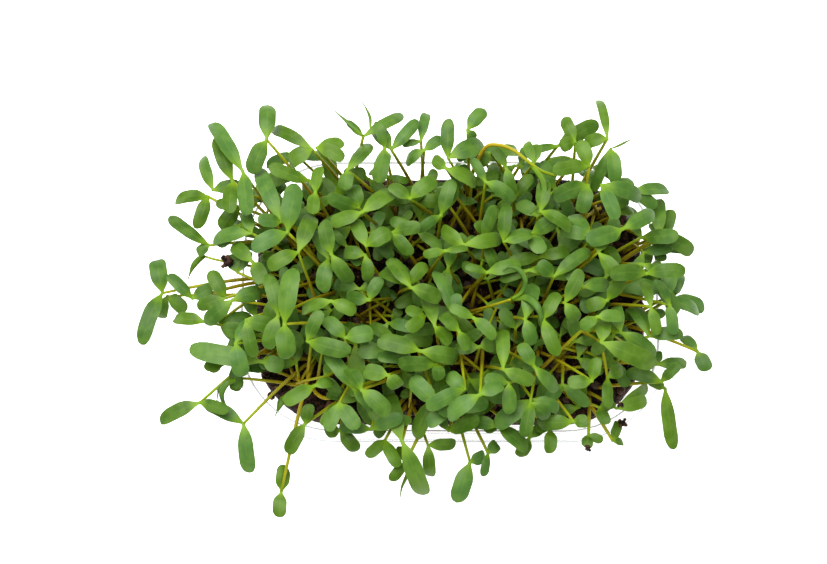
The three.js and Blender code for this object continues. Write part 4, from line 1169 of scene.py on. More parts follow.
def add_leaf_pair(growth, seedling, chance):
    """Both leaves as one band from tip to tip through the crown."""
    first, second = seedling.leaves
    back, back_tip = leaf_rings(seedling, first, -1, chance)
    front, front_tip = leaf_rings(seedling, second, 1, chance)
    frames = [leaf_frames(seedling.crown, leaf, [0.0])[1][0] for leaf in (first, second)]
    side = frames[1] - frames[0]
    side /= np.linalg.norm(side)
    rise = CROWN_ABOVE * SECTION_UPPER - CROWN_BELOW * (1 - SECTION_UPPER)
    aside = PETIOLE_HALF * CROWN_FULLER * SECTION_ACROSS
    middle = seedling.crown + side * aside[:, None] + np.array([0, 0, 1]) * rise[:, None]
    around = len(SECTION_ACROSS)
    rings = np.vstack([back[::-1].reshape(-1, 3), middle, front.reshape(-1, 3)])
    count = 2 * len(LEAF_STATIONS) + 1
    points = np.vstack([rings, back_tip, front_tip])
    faces = ring_faces(count, around)
    tip_back, tip_front = len(rings), len(rings) + 1
    last = (count - 1) * around
    for i in range(around):
        j = (i + 1) % around
        faces.append((j, i, tip_back))
        faces.append((last + i, last + j, tip_front))
    along = np.concatenate([LEAF_STATIONS[::-1], [0], LEAF_STATIONS])
    across = (1 + SECTION_ACROSS) / 2
    places = np.stack([np.repeat(along, around), np.tile(across, count)], axis=1)
    places = np.vstack([places, [1, 0.5], [1, 0.5]])
    shade = chance()
    tones = np.empty((len(points), 3))
    tones[:, 0] = shade
    tones[:, 1] = chance()
    tones[:-2, 2] = np.tile(SECTION_UPPER, count)
    tones[-2:, 2] = 0.5
    half_way = (len(LEAF_STATIONS) + 0.5) * around
    other = np.arange(len(points)) > half_way
    tones[other, 0] = PARTNER_SHADE * shade + (1 - PARTNER_SHADE) * chance()
    starts = [ring * around + i for ring in range(count - 1) for i in SECTION_EDGES]
    creases = [(start, start + around) for start in starts]
    growth.add(points, faces, 0, places, tones, creases)


def add_stem(growth, seedling, chance):
    """A stem, a little slimmer towards the crown, with its head sunk in the pair of leaves."""
    share = np.linspace(0, 1, STEM_RINGS)
    at, side, front = stem_frames(seedling, share)
    stout = drawn(chance, STEM_STOUT)
    radius = stout * (STEM_FOOT_RADIUS + (STEM_HEAD_RADIUS - STEM_FOOT_RADIUS) * share)
    at = at.copy()
    at[-1, 2] -= STEM_HEAD_SUNK
    angle = TAU * np.arange(STEM_SIDES) / STEM_SIDES
    out = side[:, None, :] * np.cos(angle)[None, :, None] + front[:, None, :] * np.sin(angle)[None, :, None]
    points = (at[:, None, :] + radius[:, None, None] * out).reshape(-1, 3)
    faces = ring_faces(STEM_RINGS, STEM_SIDES)
    last = (STEM_RINGS - 1) * STEM_SIDES
    faces.append(tuple(reversed(range(STEM_SIDES))))
    faces.append(tuple(range(last, last + STEM_SIDES)))
    round_way = (1 + np.cos(angle)) / 2
    places = np.stack([np.repeat(share, STEM_SIDES), np.tile(round_way, STEM_RINGS)], axis=1)
    growth.add(points, faces, 1, places, (chance(), chance(), 1))


def smooth_way(places, steps):
    """Points along a smooth line through some places."""
    places = np.asarray(places)
    ends = np.vstack([2 * places[0] - places[1], places, 2 * places[-1] - places[-2]])
    spans = len(places) - 1
    found = []
    for step in range(steps + 1):
        reach = min(spans - 1e-9, spans * step / steps)
        i, t = int(reach), reach - int(reach)
        a, b, c, d = ends[i : i + 4]
        found.append(b + 0.5 * t * (c - a + t * (2 * a - 5 * b + 4 * c - d + t * (3 * (b - c) + d - a))))
    return np.array(found)


def add_bend(growth, bend, chance):
    """A stem or a narrow leaf along its smooth way."""
    steps = BEND_STEPS * len(bend.way)
    at = smooth_way([place_at(*stop) for stop in bend.way], steps)
    along = np.gradient(at, axis=0)
    along /= np.linalg.norm(along, axis=1, keepdims=True)
    side = np.cross(along, [0.0, 0.0, 1.0])
    side /= np.linalg.norm(side, axis=1, keepdims=True)
    top = np.cross(side, along)
    share = np.linspace(0, 1, steps + 1)
    half = bend.wide / 2 * np.ones(steps + 1)
    if bend.kind == "leaf":
        bulge = np.sin(math.pi * np.minimum(1, BEND_LEAF_STARTS + share) ** BEND_LEAF_FILLS)
        outline = BEND_LEAF_ENDS + (1 - BEND_LEAF_ENDS) * bulge
        half = half * outline * (1 - BEND_TIP_TAPER * share**6)
        thick, finish = BEND_LEAF_THICK * np.ones(steps + 1), 0
        roll = BEND_ROLL * np.sin(BEND_ROLL_WAVES * share + TAU * chance())[:, None]
        side, top = side * np.cos(roll) + top * np.sin(roll), top * np.cos(roll) - side * np.sin(roll)
    else:
        half = half * (1 - BEND_STEM_TAPER * share)
        thick, finish = half, 1
    angle = TAU * np.arange(STEM_SIDES) / STEM_SIDES
    wide = (half[:, None] * np.cos(angle))[:, :, None] * side[:, None, :]
    high = (thick[:, None] * np.sin(angle))[:, :, None] * top[:, None, :]
    points = (at[:, None, :] + wide + high).reshape(-1, 3)
    faces = [tuple(reversed(face)) for face in ring_faces(steps + 1, STEM_SIDES)]
    last = steps * STEM_SIDES
    faces.append(tuple(range(STEM_SIDES)))
    faces.append(tuple(reversed(range(last, last + STEM_SIDES))))
    across = np.tile((1 + np.cos(angle)) / 2, steps + 1)
    places = np.stack([np.repeat(share, STEM_SIDES), across], axis=1)
    growth.add(points, faces, finish, places, (BEND_SHADE * chance(), chance(), 1))


def carrier_at(bed, across, down):
    """The point of a seedling nearest to a pixel's line of sight, rather an upper one than a lower."""
    points = np.array([point[:3] for cell in bed.cells.values() for point in cell])
    at_across, at_down = pixel_of(*points.T)
    above = points[:, 2] - TUB_HEIGHT
    return points[np.argmin(np.hypot(at_across - across, at_down - down) - CARRIER_UPPER * above)]


def deselect():
    """Leaves nothing selected, so that an operator acts only on what is made next."""
    if bpy.context.mode != "OBJECT":
        bpy.ops.object.mode_set(mode="OBJECT")
    bpy.ops.object.select_all(action="DESELECT")


def modelled_lump(radius, roughness, flatness, seed):
    """A rough lump, modelled once: a small ball with its points pulled about, a little flattened."""
    deselect()
    bpy.ops.mesh.primitive_ico_sphere_add(subdivisions=2, radius=radius * MM)
    lump = bpy.context.object
    bpy.ops.object.mode_set(mode="EDIT")
    bpy.ops.mesh.select_all(action="SELECT")
    bpy.ops.transform.vertex_random(offset=radius * roughness * MM, seed=seed)
    bpy.ops.transform.resize(value=(1, 1, flatness))
    bpy.ops.mesh.normals_make_consistent(inside=False)
    bpy.ops.object.mode_set(mode="OBJECT")
    points = np.array([vertex.co for vertex in lump.data.vertices]) / MM
    faces = [tuple(face.vertices) for face in lump.data.polygons]
    mesh = lump.data
    bpy.data.objects.remove(lump)
    bpy.data.meshes.remove(mesh)
    return points, faces


def turned(points, chance):
    """Points turned any way about their middle."""
    a, b, c = (TAU * chance() for _ in range(3))
    about_z = np.array([[math.cos(a), -math.sin(a), 0], [math.sin(a), math.cos(a), 0], [0, 0, 1]])
    about_x = np.array([[1, 0, 0], [0, math.cos(b), -math.sin(b)], [0, math.sin(b), math.cos(b)]])
    about_y = np.array([[math.cos(c), 0, math.sin(c)], [0, 1, 0], [-math.sin(c), 0, math.cos(c)]])
    return points @ (about_z @ about_x @ about_y).T


@functools.cache
def husk_lump(kind):
    """One of the husk shapes, modelled at its first use."""
    return modelled_lump(1, HUSK_ROUGH, HUSK_FLAT, kind + 3)


def add_husk(growth, spot, radius, chance):
    """A corky husk in the top of the mix, with its root tapering down below it."""
    points, faces = husk_lump(spot.index % HUSK_KINDS)
    middle = np.array([spot.x, spot.y, SEED_Z + HUSK_RAISED * radius])
    tone = (chance(), chance(), 1)
    growth.add(turned(points, chance) * radius + middle, faces, 2, (0.5, 0.5), tone)
    angle = TAU * np.arange(STEM_SIDES) / STEM_SIDES
    root = []
    for size, drop in ((ROOT_TOP_RADIUS, -ROOT_TOP_DROP * radius), *ROOT_RINGS):
        inwards = 1 + ROOT_INWARDS * drop
        for turn in angle:
            x, y = spot.x * inwards + size * math.cos(turn), spot.y * inwards + size * math.sin(turn)
            root.append((x, y, SEED_Z + drop))
    faces = [tuple(reversed(face)) for face in ring_faces(3, STEM_SIDES)]
    faces.append(tuple(range(STEM_SIDES)))
    faces.append(tuple(reversed(range(2 * STEM_SIDES, 3 * STEM_SIDES))))
    growth.add(root, faces, 3, (0, 0.5), tone)


def mix_height(x, y):
    """The height of the crumbly top of the mix at a place."""
    height = MIX_TOP - MIX_LUMPS_SUNK
    for size, slice_at, rise in MIX_LUMPS:
        height += rise * noise.noise(Vector((x / size, y / size, slice_at)))
    return height


# Materials


def put(tree, kind, settings=None, inputs=None):
    """A node with its settings, and with its sockets set or linked."""
    made = tree.nodes.new(kind)
    for name, value in (settings or {}).items():
        setattr(made, name, value)
    for name, value in (inputs or {}).items():
        if isinstance(value, bpy.types.NodeSocket):
            tree.links.new(value, made.inputs[name])
        else:
            made.inputs[name].default_value = value
    return made


def maths(tree, operation, *values):
    """A Math node's result."""
    return put(tree, "ShaderNodeMath", {"operation": operation}, dict(enumerate(values))).outputs[0]


def scaled(tree, value, by, plus):
    """A value times one number plus another."""
    return maths(tree, "ADD", maths(tree, "MULTIPLY", value, by), plus)


def between(tree, value, low, high):
    """0 below low, 1 above high, and a smooth step from one to the other."""
    settings = {"interpolation_type": "SMOOTHSTEP"}
    inputs = {"Value": value, "From Min": low, "From Max": high}
    return put(tree, "ShaderNodeMapRange", settings, inputs).outputs[0]


def mixed(tree, share, first, second, blend_type="MIX"):
    """Two colours mixed: the second by its share over the first."""
    settings = {"data_type": "RGBA", "blend_type": blend_type}
    return put(tree, "ShaderNodeMix", settings, {0: share, 6: first, 7: second}).outputs[2]


def grain_group():
    """Soft blotches and a finer grain that vary a colour. Every surface of the plant and the mix uses it."""
    made = bpy.data.node_groups.get("grown_grain")
    if made:
        return made
    made = bpy.data.node_groups.new("grown_grain", "ShaderNodeTree")
    for name, kind in (
        ("Colour", "Color"),
        ("Blotch Colour", "Color"),
        ("Blotch Scale", "Float"),
        ("Grain Scale", "Float"),
        ("Blotches", "Float"),
    ):
        made.interface.new_socket(name, in_out="INPUT", socket_type=f"NodeSocket{kind}")
    made.interface.new_socket("Colour", in_out="OUTPUT", socket_type="NodeSocketColor")
    made.interface.new_socket("Grain", in_out="OUTPUT", socket_type="NodeSocketFloat")
    given = made.nodes.new("NodeGroupInput").outputs
    place = made.nodes.new("ShaderNodeTexCoord").outputs["Object"]
    broad = {"Vector": place, "Scale": given["Blotch Scale"], "Detail": 2.0}
    blotch = put(made, "ShaderNodeTexNoise", None, broad)
    close = {"Vector": place, "Scale": given["Grain Scale"], "Detail": 3.0}
    fine = put(made, "ShaderNodeTexNoise", None, close)
    spread = between(made, blotch.outputs["Fac"], 0.35, 0.68)
    share = maths(made, "MULTIPLY", spread, given["Blotches"])
    out = made.nodes.new("NodeGroupOutput")
    made.links.new(mixed(made, share, given["Colour"], given["Blotch Colour"]), out.inputs["Colour"])
    made.links.new(fine.outputs["Fac"], out.inputs["Grain"])
    return made


def grained(tree, colour, blotch_colour, blotch_scale, grain_scale, blotches):
    """The group of blotches and grain, placed with its own values."""
    inputs = {
        "Colour": colour,
        "Blotch Colour": blotch_colour,
        "Blotch Scale": blotch_scale,
        "Grain Scale": grain_scale,
        "Blotches": blotches,
    }
    return put(tree, "ShaderNodeGroup", {"node_tree": grain_group()}, inputs)


def new_material(name):
    """A new material, its node tree and its shader."""
    made = bpy.data.materials.new(name)
    made.use_nodes = True
    return made, made.node_tree, made.node_tree.nodes["Principled BSDF"]


def tones(tree):
    """A point's shade, its hue, and 1 on a leaf's upper side."""
    tone = put(tree, "ShaderNodeAttribute", {"attribute_name": "tone"}).outputs["Color"]
    return put(tree, "ShaderNodeSeparateColor", None, {0: tone}).outputs[0:3]


def along_and_across(tree):
    """A point's shares of the way along its leaf or stem and across it."""
    place = put(tree, "ShaderNodeUVMap", {"uv_map": "along"}).outputs["UV"]
    return put(tree, "ShaderNodeSeparateXYZ", None, {0: place}).outputs[0:2]


def material(name):
    """Turns a filling function into one that returns the material of this name, made at its first use."""

    def filled(fill):
        def made_once(colours):
            made = bpy.data.materials.get(name)
            if made is None:
                made, tree, shader = new_material(name)
                fill(tree, shader, colours)
            return made

        return made_once

    return filled


SHALLOW = 0.0002


def finish_surface(tree, shader, colour, rough, height=None, bump=0.0, depth=SHALLOW):
    """Links a surface's colour, roughness and bump to its shader."""
    tree.links.new(colour, shader.inputs["Base Color"])
    tree.links.new(rough, shader.inputs["Roughness"])
    if height is not None:
        inputs = {"Strength": bump, "Distance": depth, "Height": height}
        normal = put(tree, "ShaderNodeBump", None, inputs).outputs["Normal"]
        tree.links.new(normal, shader.inputs["Normal"])


def finish_grained(tree, shader, grain, least_rough, rougher, bump, depth=SHALLOW):
    """Finishes a surface whose grain gives its colour, its roughness and its bump."""
    fine = grain.outputs["Grain"]
    rough = scaled(tree, fine, rougher, least_rough)
    finish_surface(tree, shader, grain.outputs["Colour"], rough, fine, bump, depth)


def rgba(colour):
    """A colour with its alpha."""
    return (*colour, 1.0)


@material("chard_leaf")
def leaf_material(tree, shader, colours):
    """Satin green blades: yellow-green at the petiole and below, with a pale midrib, faint side veins and a
    painted highlight along the edges.
    """
    share, across = along_and_across(tree)
    shade, hue, upper = tones(tree)
    off_middle = maths(tree, "ABSOLUTE", maths(tree, "SUBTRACT", across, 0.5))
    cool_or_warm = mixed(tree, between(tree, hue, 0.1, 0.9), rgba(colours.leaf_cool), rgba(colours.leaf_warm))
    top = mixed(tree, maths(tree, "MULTIPLY", shade, 0.8), cool_or_warm, rgba(colours.leaf_deep))
    surface = mixed(tree, between(tree, upper, 0.2, 0.8), rgba(colours.leaf_below), top)
    grain = grained(
        tree, surface, rgba(colours.leaf_pale_and_edge_highlight), blotch_scale=190.0, grain_scale=1600.0, blotches=0.26
    )
    near_crown = between(tree, share, 0.34, 0.02)
    greening = maths(tree, "MULTIPLY", near_crown, 0.7)
    greened = mixed(tree, greening, grain.outputs["Colour"], rgba(colours.petiole))
    midrib = between(tree, off_middle, 0.075, 0.0)
    fading = between(tree, share, 1.0, 0.45)
    rib_share = maths(tree, "MULTIPLY", maths(tree, "MULTIPLY", midrib, fading), 0.13)
    ribbed = mixed(tree, rib_share, greened, rgba(colours.leaf_pale_and_edge_highlight))
    swept = maths(tree, "MULTIPLY", off_middle, 5.0)
    slant = maths(tree, "SUBTRACT", maths(tree, "MULTIPLY", share, 9.0), swept)
    off_vein = maths(tree, "ABSOLUTE", maths(tree, "SUBTRACT", maths(tree, "FRACT", slant), 0.5))
    vein = between(tree, off_vein, 0.09, 0.0)
    veined = mixed(tree, maths(tree, "MULTIPLY", vein, 0.04), ribbed, rgba(colours.leaf_pale_and_edge_highlight))
    # The outermost edges are mixed towards the pale colour, a painted rim highlight.
    rim = between(tree, off_middle, 0.46, 0.5)
    colour = mixed(tree, maths(tree, "MULTIPLY", rim, 0.28), veined, rgba(colours.leaf_pale_and_edge_highlight))
    rough = scaled(tree, grain.outputs["Grain"], 0.16, 0.36)
    sunk = maths(tree, "ADD", maths(tree, "MULTIPLY", midrib, 0.6), maths(tree, "MULTIPLY", vein, 0.35))
    height = maths(tree, "SUBTRACT", maths(tree, "MULTIPLY", grain.outputs["Grain"], 0.5), sunk)
    shader.inputs["Specular IOR Level"].default_value = 0.24
    finish_surface(tree, shader, colour, rough, height, bump=0.22, depth=0.00025)


@material("chard_stem")
def stem_material(tree, shader, colours):
    """Golden stems that turn yellow-green towards the crown, a little streaked."""
    share, _ = along_and_across(tree)
    shade, hue, _ = tones(tree)
    lower = mixed(tree, shade, rgba(colours.stem_gold), rgba(colours.stem_olive))
    upper = mixed(tree, hue, rgba(colours.stem_green), rgba(colours.petiole))
    body = mixed(tree, between(tree, share, 0.35, 1.0), lower, upper)
    grain = grained(
        tree, body, rgba(colours.stem_olive), blotch_scale=260.0, grain_scale=2200.0, blotches=0.35
    )
    shader.inputs["Specular IOR Level"].default_value = 0.15
    finish_grained(tree, shader, grain, least_rough=0.3, rougher=0.2, bump=0.2)


@material("chard_husk")
def husk_material(tree, shader, colours):
    """Grey-brown cork, pitted and blotched."""
    shade, _, _ = tones(tree)
    body = mixed(tree, shade, rgba(colours.husk), rgba(colours.husk_dark))
    grain = grained(tree, body, rgba(colours.husk_dark), blotch_scale=700.0, grain_scale=1900.0, blotches=0.8)
    finish_grained(tree, shader, grain, least_rough=0.8, rougher=0.15, bump=0.9, depth=0.0006)


@material("chard_root")
def root_material(tree, shader, colours):
    """Pale roots with a tinge of the mix."""
    grain = grained(
        tree, rgba(colours.root), rgba(colours.husk), blotch_scale=400.0, grain_scale=2500.0, blotches=0.5
    )
    finish_grained(tree, shader, grain, least_rough=0.5, rougher=0.2, bump=0.3)


@material("damp_mix")
def mix_material(tree, shader, colours):
    """Damp dark mix, blotched with reddish-brown fibre and flecked with tan."""
    place = put(tree, "ShaderNodeTexCoord").outputs["Object"]
    grain = grained(
        tree, rgba(colours.dark), rgba(colours.red_brown),
        blotch_scale=420.0, grain_scale=1500.0, blotches=0.75,
    )
    flecks = put(tree, "ShaderNodeTexVoronoi", None, {"Vector": place, "Scale": 520.0, "Randomness": 1.0})
    fleck_tone = put(tree, "ShaderNodeSeparateColor", None, {0: flecks.outputs["Color"]}).outputs[0]
    near = between(tree, flecks.outputs["Distance"], 0.34, 0.2)
    chosen = between(tree, fleck_tone, 0.9, 0.93)
    fleck = maths(tree, "MULTIPLY", near, chosen)
    colour = mixed(tree, maths(tree, "MULTIPLY", fleck, 0.8), grain.outputs["Colour"], rgba(colours.tan))
    rough = scaled(tree, grain.outputs["Grain"], 0.3, 0.62)
    shader.inputs["Specular IOR Level"].default_value = 0.15
    finish_surface(tree, shader, colour, rough, grain.outputs["Grain"], bump=1.0, depth=0.0015)


@material("mix_crumb")
def crumb_material(tree, shader, colours):
    """Crumbs of the mix, from near black through reddish brown to tan."""
    shade, hue, _ = tones(tree)
    body = mixed(tree, between(tree, shade, 0.45, 0.9), rgba(colours.dark), rgba(colours.red_brown))
    body = mixed(tree, between(tree, hue, 0.9, 0.97), body, rgba(colours.tan))
    grain = grained(tree, body, rgba(colours.dark), blotch_scale=800.0, grain_scale=2600.0, blotches=0.5)
    shader.inputs["Specular IOR Level"].default_value = 0.2
    finish_grained(tree, shader, grain, least_rough=0.65, rougher=0.25, bump=0.8, depth=0.0005)


@material("clear_plastic_tub")
def plastic_material(tree, shader, colours):
    """Clear plastic, faintly clouded, that shows mostly where it turns away and on the flange's lip. Its pale
    grey, seen through a low alpha, is a painted reflection veil, and it turns dark where it turns away,
    painted shade for the dark lines at its edges.
    """
    # The pale grey body colour is a painted reflection veil.
    grain = grained(
        tree, rgba(colours.plastic), rgba(colours.plastic_cloud),
        blotch_scale=90.0, grain_scale=500.0, blotches=0.5,
    )
    edge = put(tree, "ShaderNodeLayerWeight", None, {"Blend": 0.32}).outputs["Facing"]
    place = put(tree, "ShaderNodeTexCoord").outputs["Object"]
    height = put(tree, "ShaderNodeSeparateXYZ", None, {0: place}).outputs[2]
    rim = between(tree, height, (LEDGE_HEIGHT + 0.4) * MM, (LEDGE_HEIGHT + 1.6) * MM)
    rough = scaled(tree, grain.outputs["Grain"], 0.06, 0.05)
    # Painted shade: where the plastic is seen side on, its colour goes over to the dark edge colour.
    edge_shade_share = maths(tree, "POWER", edge, 1.5)
    colour = mixed(tree, edge_shade_share, grain.outputs["Colour"], rgba(colours.plastic_edge_painted_shade))
    finish_surface(tree, shader, colour, rough)
    wall_alpha = scaled(tree, maths(tree, "POWER", edge, 4.0), 0.4, 0.015)
    below_top = between(tree, height, (TUB_HEIGHT - 0.015) * MM, (TUB_HEIGHT - 0.08) * MM)
    above_under = between(tree, height, (TUB_HEIGHT - 1.1) * MM, (TUB_HEIGHT - 0.8) * MM)
    lip_alpha = maths(tree, "MULTIPLY", maths(tree, "MULTIPLY", below_top, above_under), 0.85)
    top_alpha = scaled(tree, maths(tree, "POWER", edge, 2.0), 0.9, 0.04)
    rim_alpha = maths(tree, "MAXIMUM", lip_alpha, top_alpha)
    more = maths(tree, "MULTIPLY", rim, maths(tree, "SUBTRACT", rim_alpha, wall_alpha))
    tree.links.new(maths(tree, "ADD", wall_alpha, more), shader.inputs["Alpha"])


# Sizes and colours that a user would change


def colour(name, description, *default):
    """A property that holds a colour."""
    return FloatVectorProperty(
        name=name, description=description, default=default, subtype="COLOR", min=0, max=1
    )


class ChardTub(bpy.types.PropertyGroup):
    """The clear tub."""

    wall: FloatProperty(name="Wall", description="Its thickness", default=WALL_THICK * MM, unit="LENGTH")
    corner_steps: IntProperty(name="Corner steps", description="Faces round each corner", default=14, min=4)
    # Painted reflection: the pale grey veil that the clear plastic shows through its low alpha.
    plastic: colour("Plastic", "Colour of the plastic seen straight on", 0.5, 0.52, 0.56)
    plastic_cloud: colour("Cloudy plastic", "Colour where it is faintly clouded", 0.78, 0.79, 0.82)
    # Painted shade: the dark lines where the plastic is seen edge on.
    plastic_edge_painted_shade: colour("Plastic edge", "Colour where the plastic is seen edge on", 0.13, 0.14, 0.165)


class ChardMix(bpy.types.PropertyGroup):
    """The growing mix and what lies on it."""

    voxel: FloatProperty(name="Voxel", description="Size of its faces", default=1.35 * MM, unit="LENGTH")
    crumbs: IntProperty(name="Crumbs", description="How many lie on the mix", default=1500, min=0)
    fibres: IntProperty(name="Fibres", description="How many lie on the mix", default=150, min=0)
    dark: colour("Dark", "Colour of most of the damp mix", 0.012, 0.0075, 0.006)
    red_brown: colour("Reddish brown", "Colour of the fibrous bits", 0.1, 0.052, 0.032)
    tan: colour("Tan", "Colour of the pale bits", 0.3, 0.18, 0.09)


class ChardSeedlings(bpy.types.PropertyGroup):
    """The colours of the seedlings."""

    leaf_cool: colour("Cool leaf", "Upper side of the bluer leaves", 0.06, 0.138, 0.026)
    leaf_warm: colour("Warm leaf", "Upper side of the yellower leaves", 0.08, 0.156, 0.009)
    leaf_deep: colour("Deep leaf", "Upper side of the darkest leaves", 0.032, 0.08, 0.0)
    # Also painted along the leaf edges as a rim highlight.
    leaf_pale_and_edge_highlight: colour("Veins", "Midribs, veins and edges", 0.17, 0.28, 0.05)
    leaf_below: colour("Below", "Underside of the leaves", 0.09, 0.17, 0.001)
    petiole: colour("Petiole", "Leaf base at the crown", 0.18, 0.3, 0.01)
    stem_green: colour("Stem top", "Stem near the crown", 0.27, 0.29, 0.012)
    stem_gold: colour("Golden stem", "Stem near the mix", 0.36, 0.27, 0.014)
    stem_olive: colour("Olive stem", "Duller stems", 0.25, 0.21, 0.01)
    husk: colour("Husk", "Corky husk", 0.2, 0.145, 0.095)
    husk_dark: colour("Husk pits", "Dark pits of the husk", 0.06, 0.038, 0.025)
    root: colour("Root", "Roots", 0.62, 0.55, 0.42)


class ChardStage(bpy.types.PropertyGroup):
    """The floor, the light and the camera."""

    floor: colour("Floor", "Colour of the floor", 0.93, 0.93, 0.93)
    glow: FloatProperty(name="Floor glow", description="How far it is lit from below", default=0.8, min=0)
    sky: FloatProperty(name="Sky", description="Strength of the even light", default=0.62, min=0)
    key: FloatProperty(name="Key light", description="The lamp above", default=22, min=0, unit="POWER")
    distance: FloatProperty(
        name="Distance", description="Camera to rim", default=PHOTO_DISTANCE * MM, unit="LENGTH"
    )
    elevation: FloatProperty(
        name="Elevation", description="Camera above the horizon", default=PHOTO_TILT, subtype="ANGLE"
    )
    lens: FloatProperty(name="Focal length", description="In millimetres on a 36 mm sensor", default=60.04)


# Pieces


def rounded_plate(width, depth, corner, height, steps):
    """A flat plate with rounded corners, left in edit mode with its one face selected."""
    deselect()
    bpy.ops.mesh.primitive_plane_add(size=1, location=(0, 0, height * MM))
    plate = bpy.context.object
    bpy.ops.object.transform_apply(location=True)
    bpy.ops.object.mode_set(mode="EDIT")
    bpy.ops.mesh.select_mode(type="VERT")
    bpy.ops.mesh.select_all(action="SELECT")
    bpy.ops.transform.resize(value=(width * MM, depth * MM, 1))
    bpy.ops.mesh.bevel(offset=corner * MM, segments=steps, affect="VERTICES")
    bpy.ops.mesh.select_mode(type="FACE")
    bpy.ops.mesh.select_all(action="SELECT")
    return plate


def walk_profile(profile):
    """Insets the selected face from step to step of a profile of (inset, height)."""
    for (inset, height), (next_inset, next_height) in zip(profile, profile[1:]):
        further, deeper = (next_inset - inset) * MM, (next_height - height) * MM
        bpy.ops.mesh.inset(thickness=further, depth=deeper, use_even_offset=True)


def apply_modifiers(obj):
    """Applies the object's modifiers in turn."""
    deselect()
    obj.select_set(True)
    bpy.context.view_layer.objects.active = obj
    for modifier in list(obj.modifiers):
        bpy.ops.object.modifier_apply(modifier=modifier.name)


class CHARD_OT_tub(bpy.types.Operator):
    """Models the clear tub: a rolled-down flange, a seat for a lid, sloping walls and a raised foot"""

    bl_idname = "chard.tub"
    bl_label = "Clear tub"

    def execute(self, context):
        sizes = context.scene.chard_tub
        foot = wall_inset(WALL_FOOT)
        profile = [
            (0, TUB_HEIGHT - LIP_DROP),
            (0.02, TUB_HEIGHT - 0.6),
            (0.18, TUB_HEIGHT - 0.2),
            (0.55, TUB_HEIGHT),
            (4.2, TUB_HEIGHT),
            (4.75, TUB_HEIGHT - 0.2),
            (4.98, TUB_HEIGHT - 0.75),
            (FLANGE_REACH + 0.02, LEDGE_HEIGHT + 0.9),
            (FLANGE_REACH + 0.22, LEDGE_HEIGHT + 0.4),
            (FLANGE_REACH + 0.7, LEDGE_HEIGHT + 0.12),
            (LEDGE_INSET - 0.25, LEDGE_HEIGHT - 0.1),
            (LEDGE_INSET + 0.1, LEDGE_HEIGHT - 0.75),
            (wall_inset(30), 30),
            (wall_inset(16), 16),
            (foot, WALL_FOOT),
            (foot + 0.4, 2.1),
            (foot + 1.1, 1.35),
            (foot + 2.2, WALL_THICK),
            (foot + 9, WALL_THICK),
            (foot + 9.8, WALL_THICK + 0.2),
            (foot + 10.6, WALL_THICK + 0.6),
            (foot + 18, WALL_THICK + 0.6),
        ]
        tub = rounded_plate(RIM_WIDTH, RIM_DEPTH, RIM_CORNER, profile[0][1], sizes.corner_steps)
        walk_profile(profile)
        bpy.ops.object.mode_set(mode="OBJECT")
        tub.name = tub.data.name = "clear_tub"
        shell = tub.modifiers.new("wall", "SOLIDIFY")
        shell.thickness = sizes.wall
        shell.offset = -1
        shell.use_even_offset = True
        apply_modifiers(tub)
        bpy.ops.object.shade_smooth_by_angle(angle=SMOOTHED_UNDER)
        tub.data.materials.append(plastic_material(sizes))
        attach(tub, "root")
        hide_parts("tub")
        return {"FINISHED"}


class CHARD_OT_mix(bpy.types.Operator):
    """Models the growing mix: a block that follows the tub's wall, with a crumbly top"""

    bl_idname = "chard.mix"
    bl_label = "Growing mix"

    def execute(self, context):
        sizes = context.scene.chard_mix
        inset = wall_inset(MIX_SHOULDER) + MIX_WALL_GAP
        width, depth = RIM_WIDTH - 2 * inset, RIM_DEPTH - 2 * inset
        mix = rounded_plate(width, depth, RIM_CORNER - inset, MIX_SHOULDER, MIX_CORNER_STEPS)
        shoulder = [(0, MIX_SHOULDER), (0.6, MIX_TOP - 3), (2.4, MIX_TOP - 0.8), (5, MIX_TOP), (9, MIX_TOP)]
        walk_profile(shoulder)
        bpy.ops.mesh.select_mode(type="EDGE")
        bpy.ops.mesh.select_all(action="DESELECT")
        bpy.ops.mesh.select_non_manifold()
        down = (0, 0, (MIX_BOTTOM - MIX_SHOULDER) * MM)
        bpy.ops.mesh.extrude_region_move(TRANSFORM_OT_translate={"value": down})
        closer = (MIX_SHOULDER - MIX_BOTTOM) * WALL_DRAFT + MIX_BOTTOM_GAP
        narrower = ((width - 2 * closer) / width, (depth - 2 * closer) / depth, 1)
        bpy.ops.transform.resize(value=narrower, center_override=(0, 0, MIX_BOTTOM * MM))
        bpy.ops.mesh.edge_face_add()
        bpy.ops.mesh.select_all(action="SELECT")
        bpy.ops.mesh.normals_make_consistent(inside=False)
        bpy.ops.object.mode_set(mode="OBJECT")
        mix.name = mix.data.name = "crumbly_mix"
        even = mix.modifiers.new("even", "REMESH")
        even.mode = "VOXEL"
        even.voxel_size = sizes.voxel
        apply_modifiers(mix)
        for vertex in mix.data.vertices:
            x, y, z = vertex.co / MM
            upper = min(1, max(0, (z - MIX_SHOULDER) / (MIX_TOP - MIX_SHOULDER)))
            rough = noise.noise(Vector((x / MIX_SIDE_GRAIN, y / MIX_SIDE_GRAIN, z / MIX_SIDE_GRAIN)))
            z += upper * (mix_height(x, y) - MIX_TOP)
            pull = 1 - MIX_PULL * (1 + rough) - MIX_PULL * upper
            vertex.co = Vector((x * pull, y * pull, z)) * MM
        mix.data.shade_smooth()
        mix.data.materials.append(mix_material(sizes))
        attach(mix, "root")
        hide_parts("growing_mix")
        return {"FINISHED"}


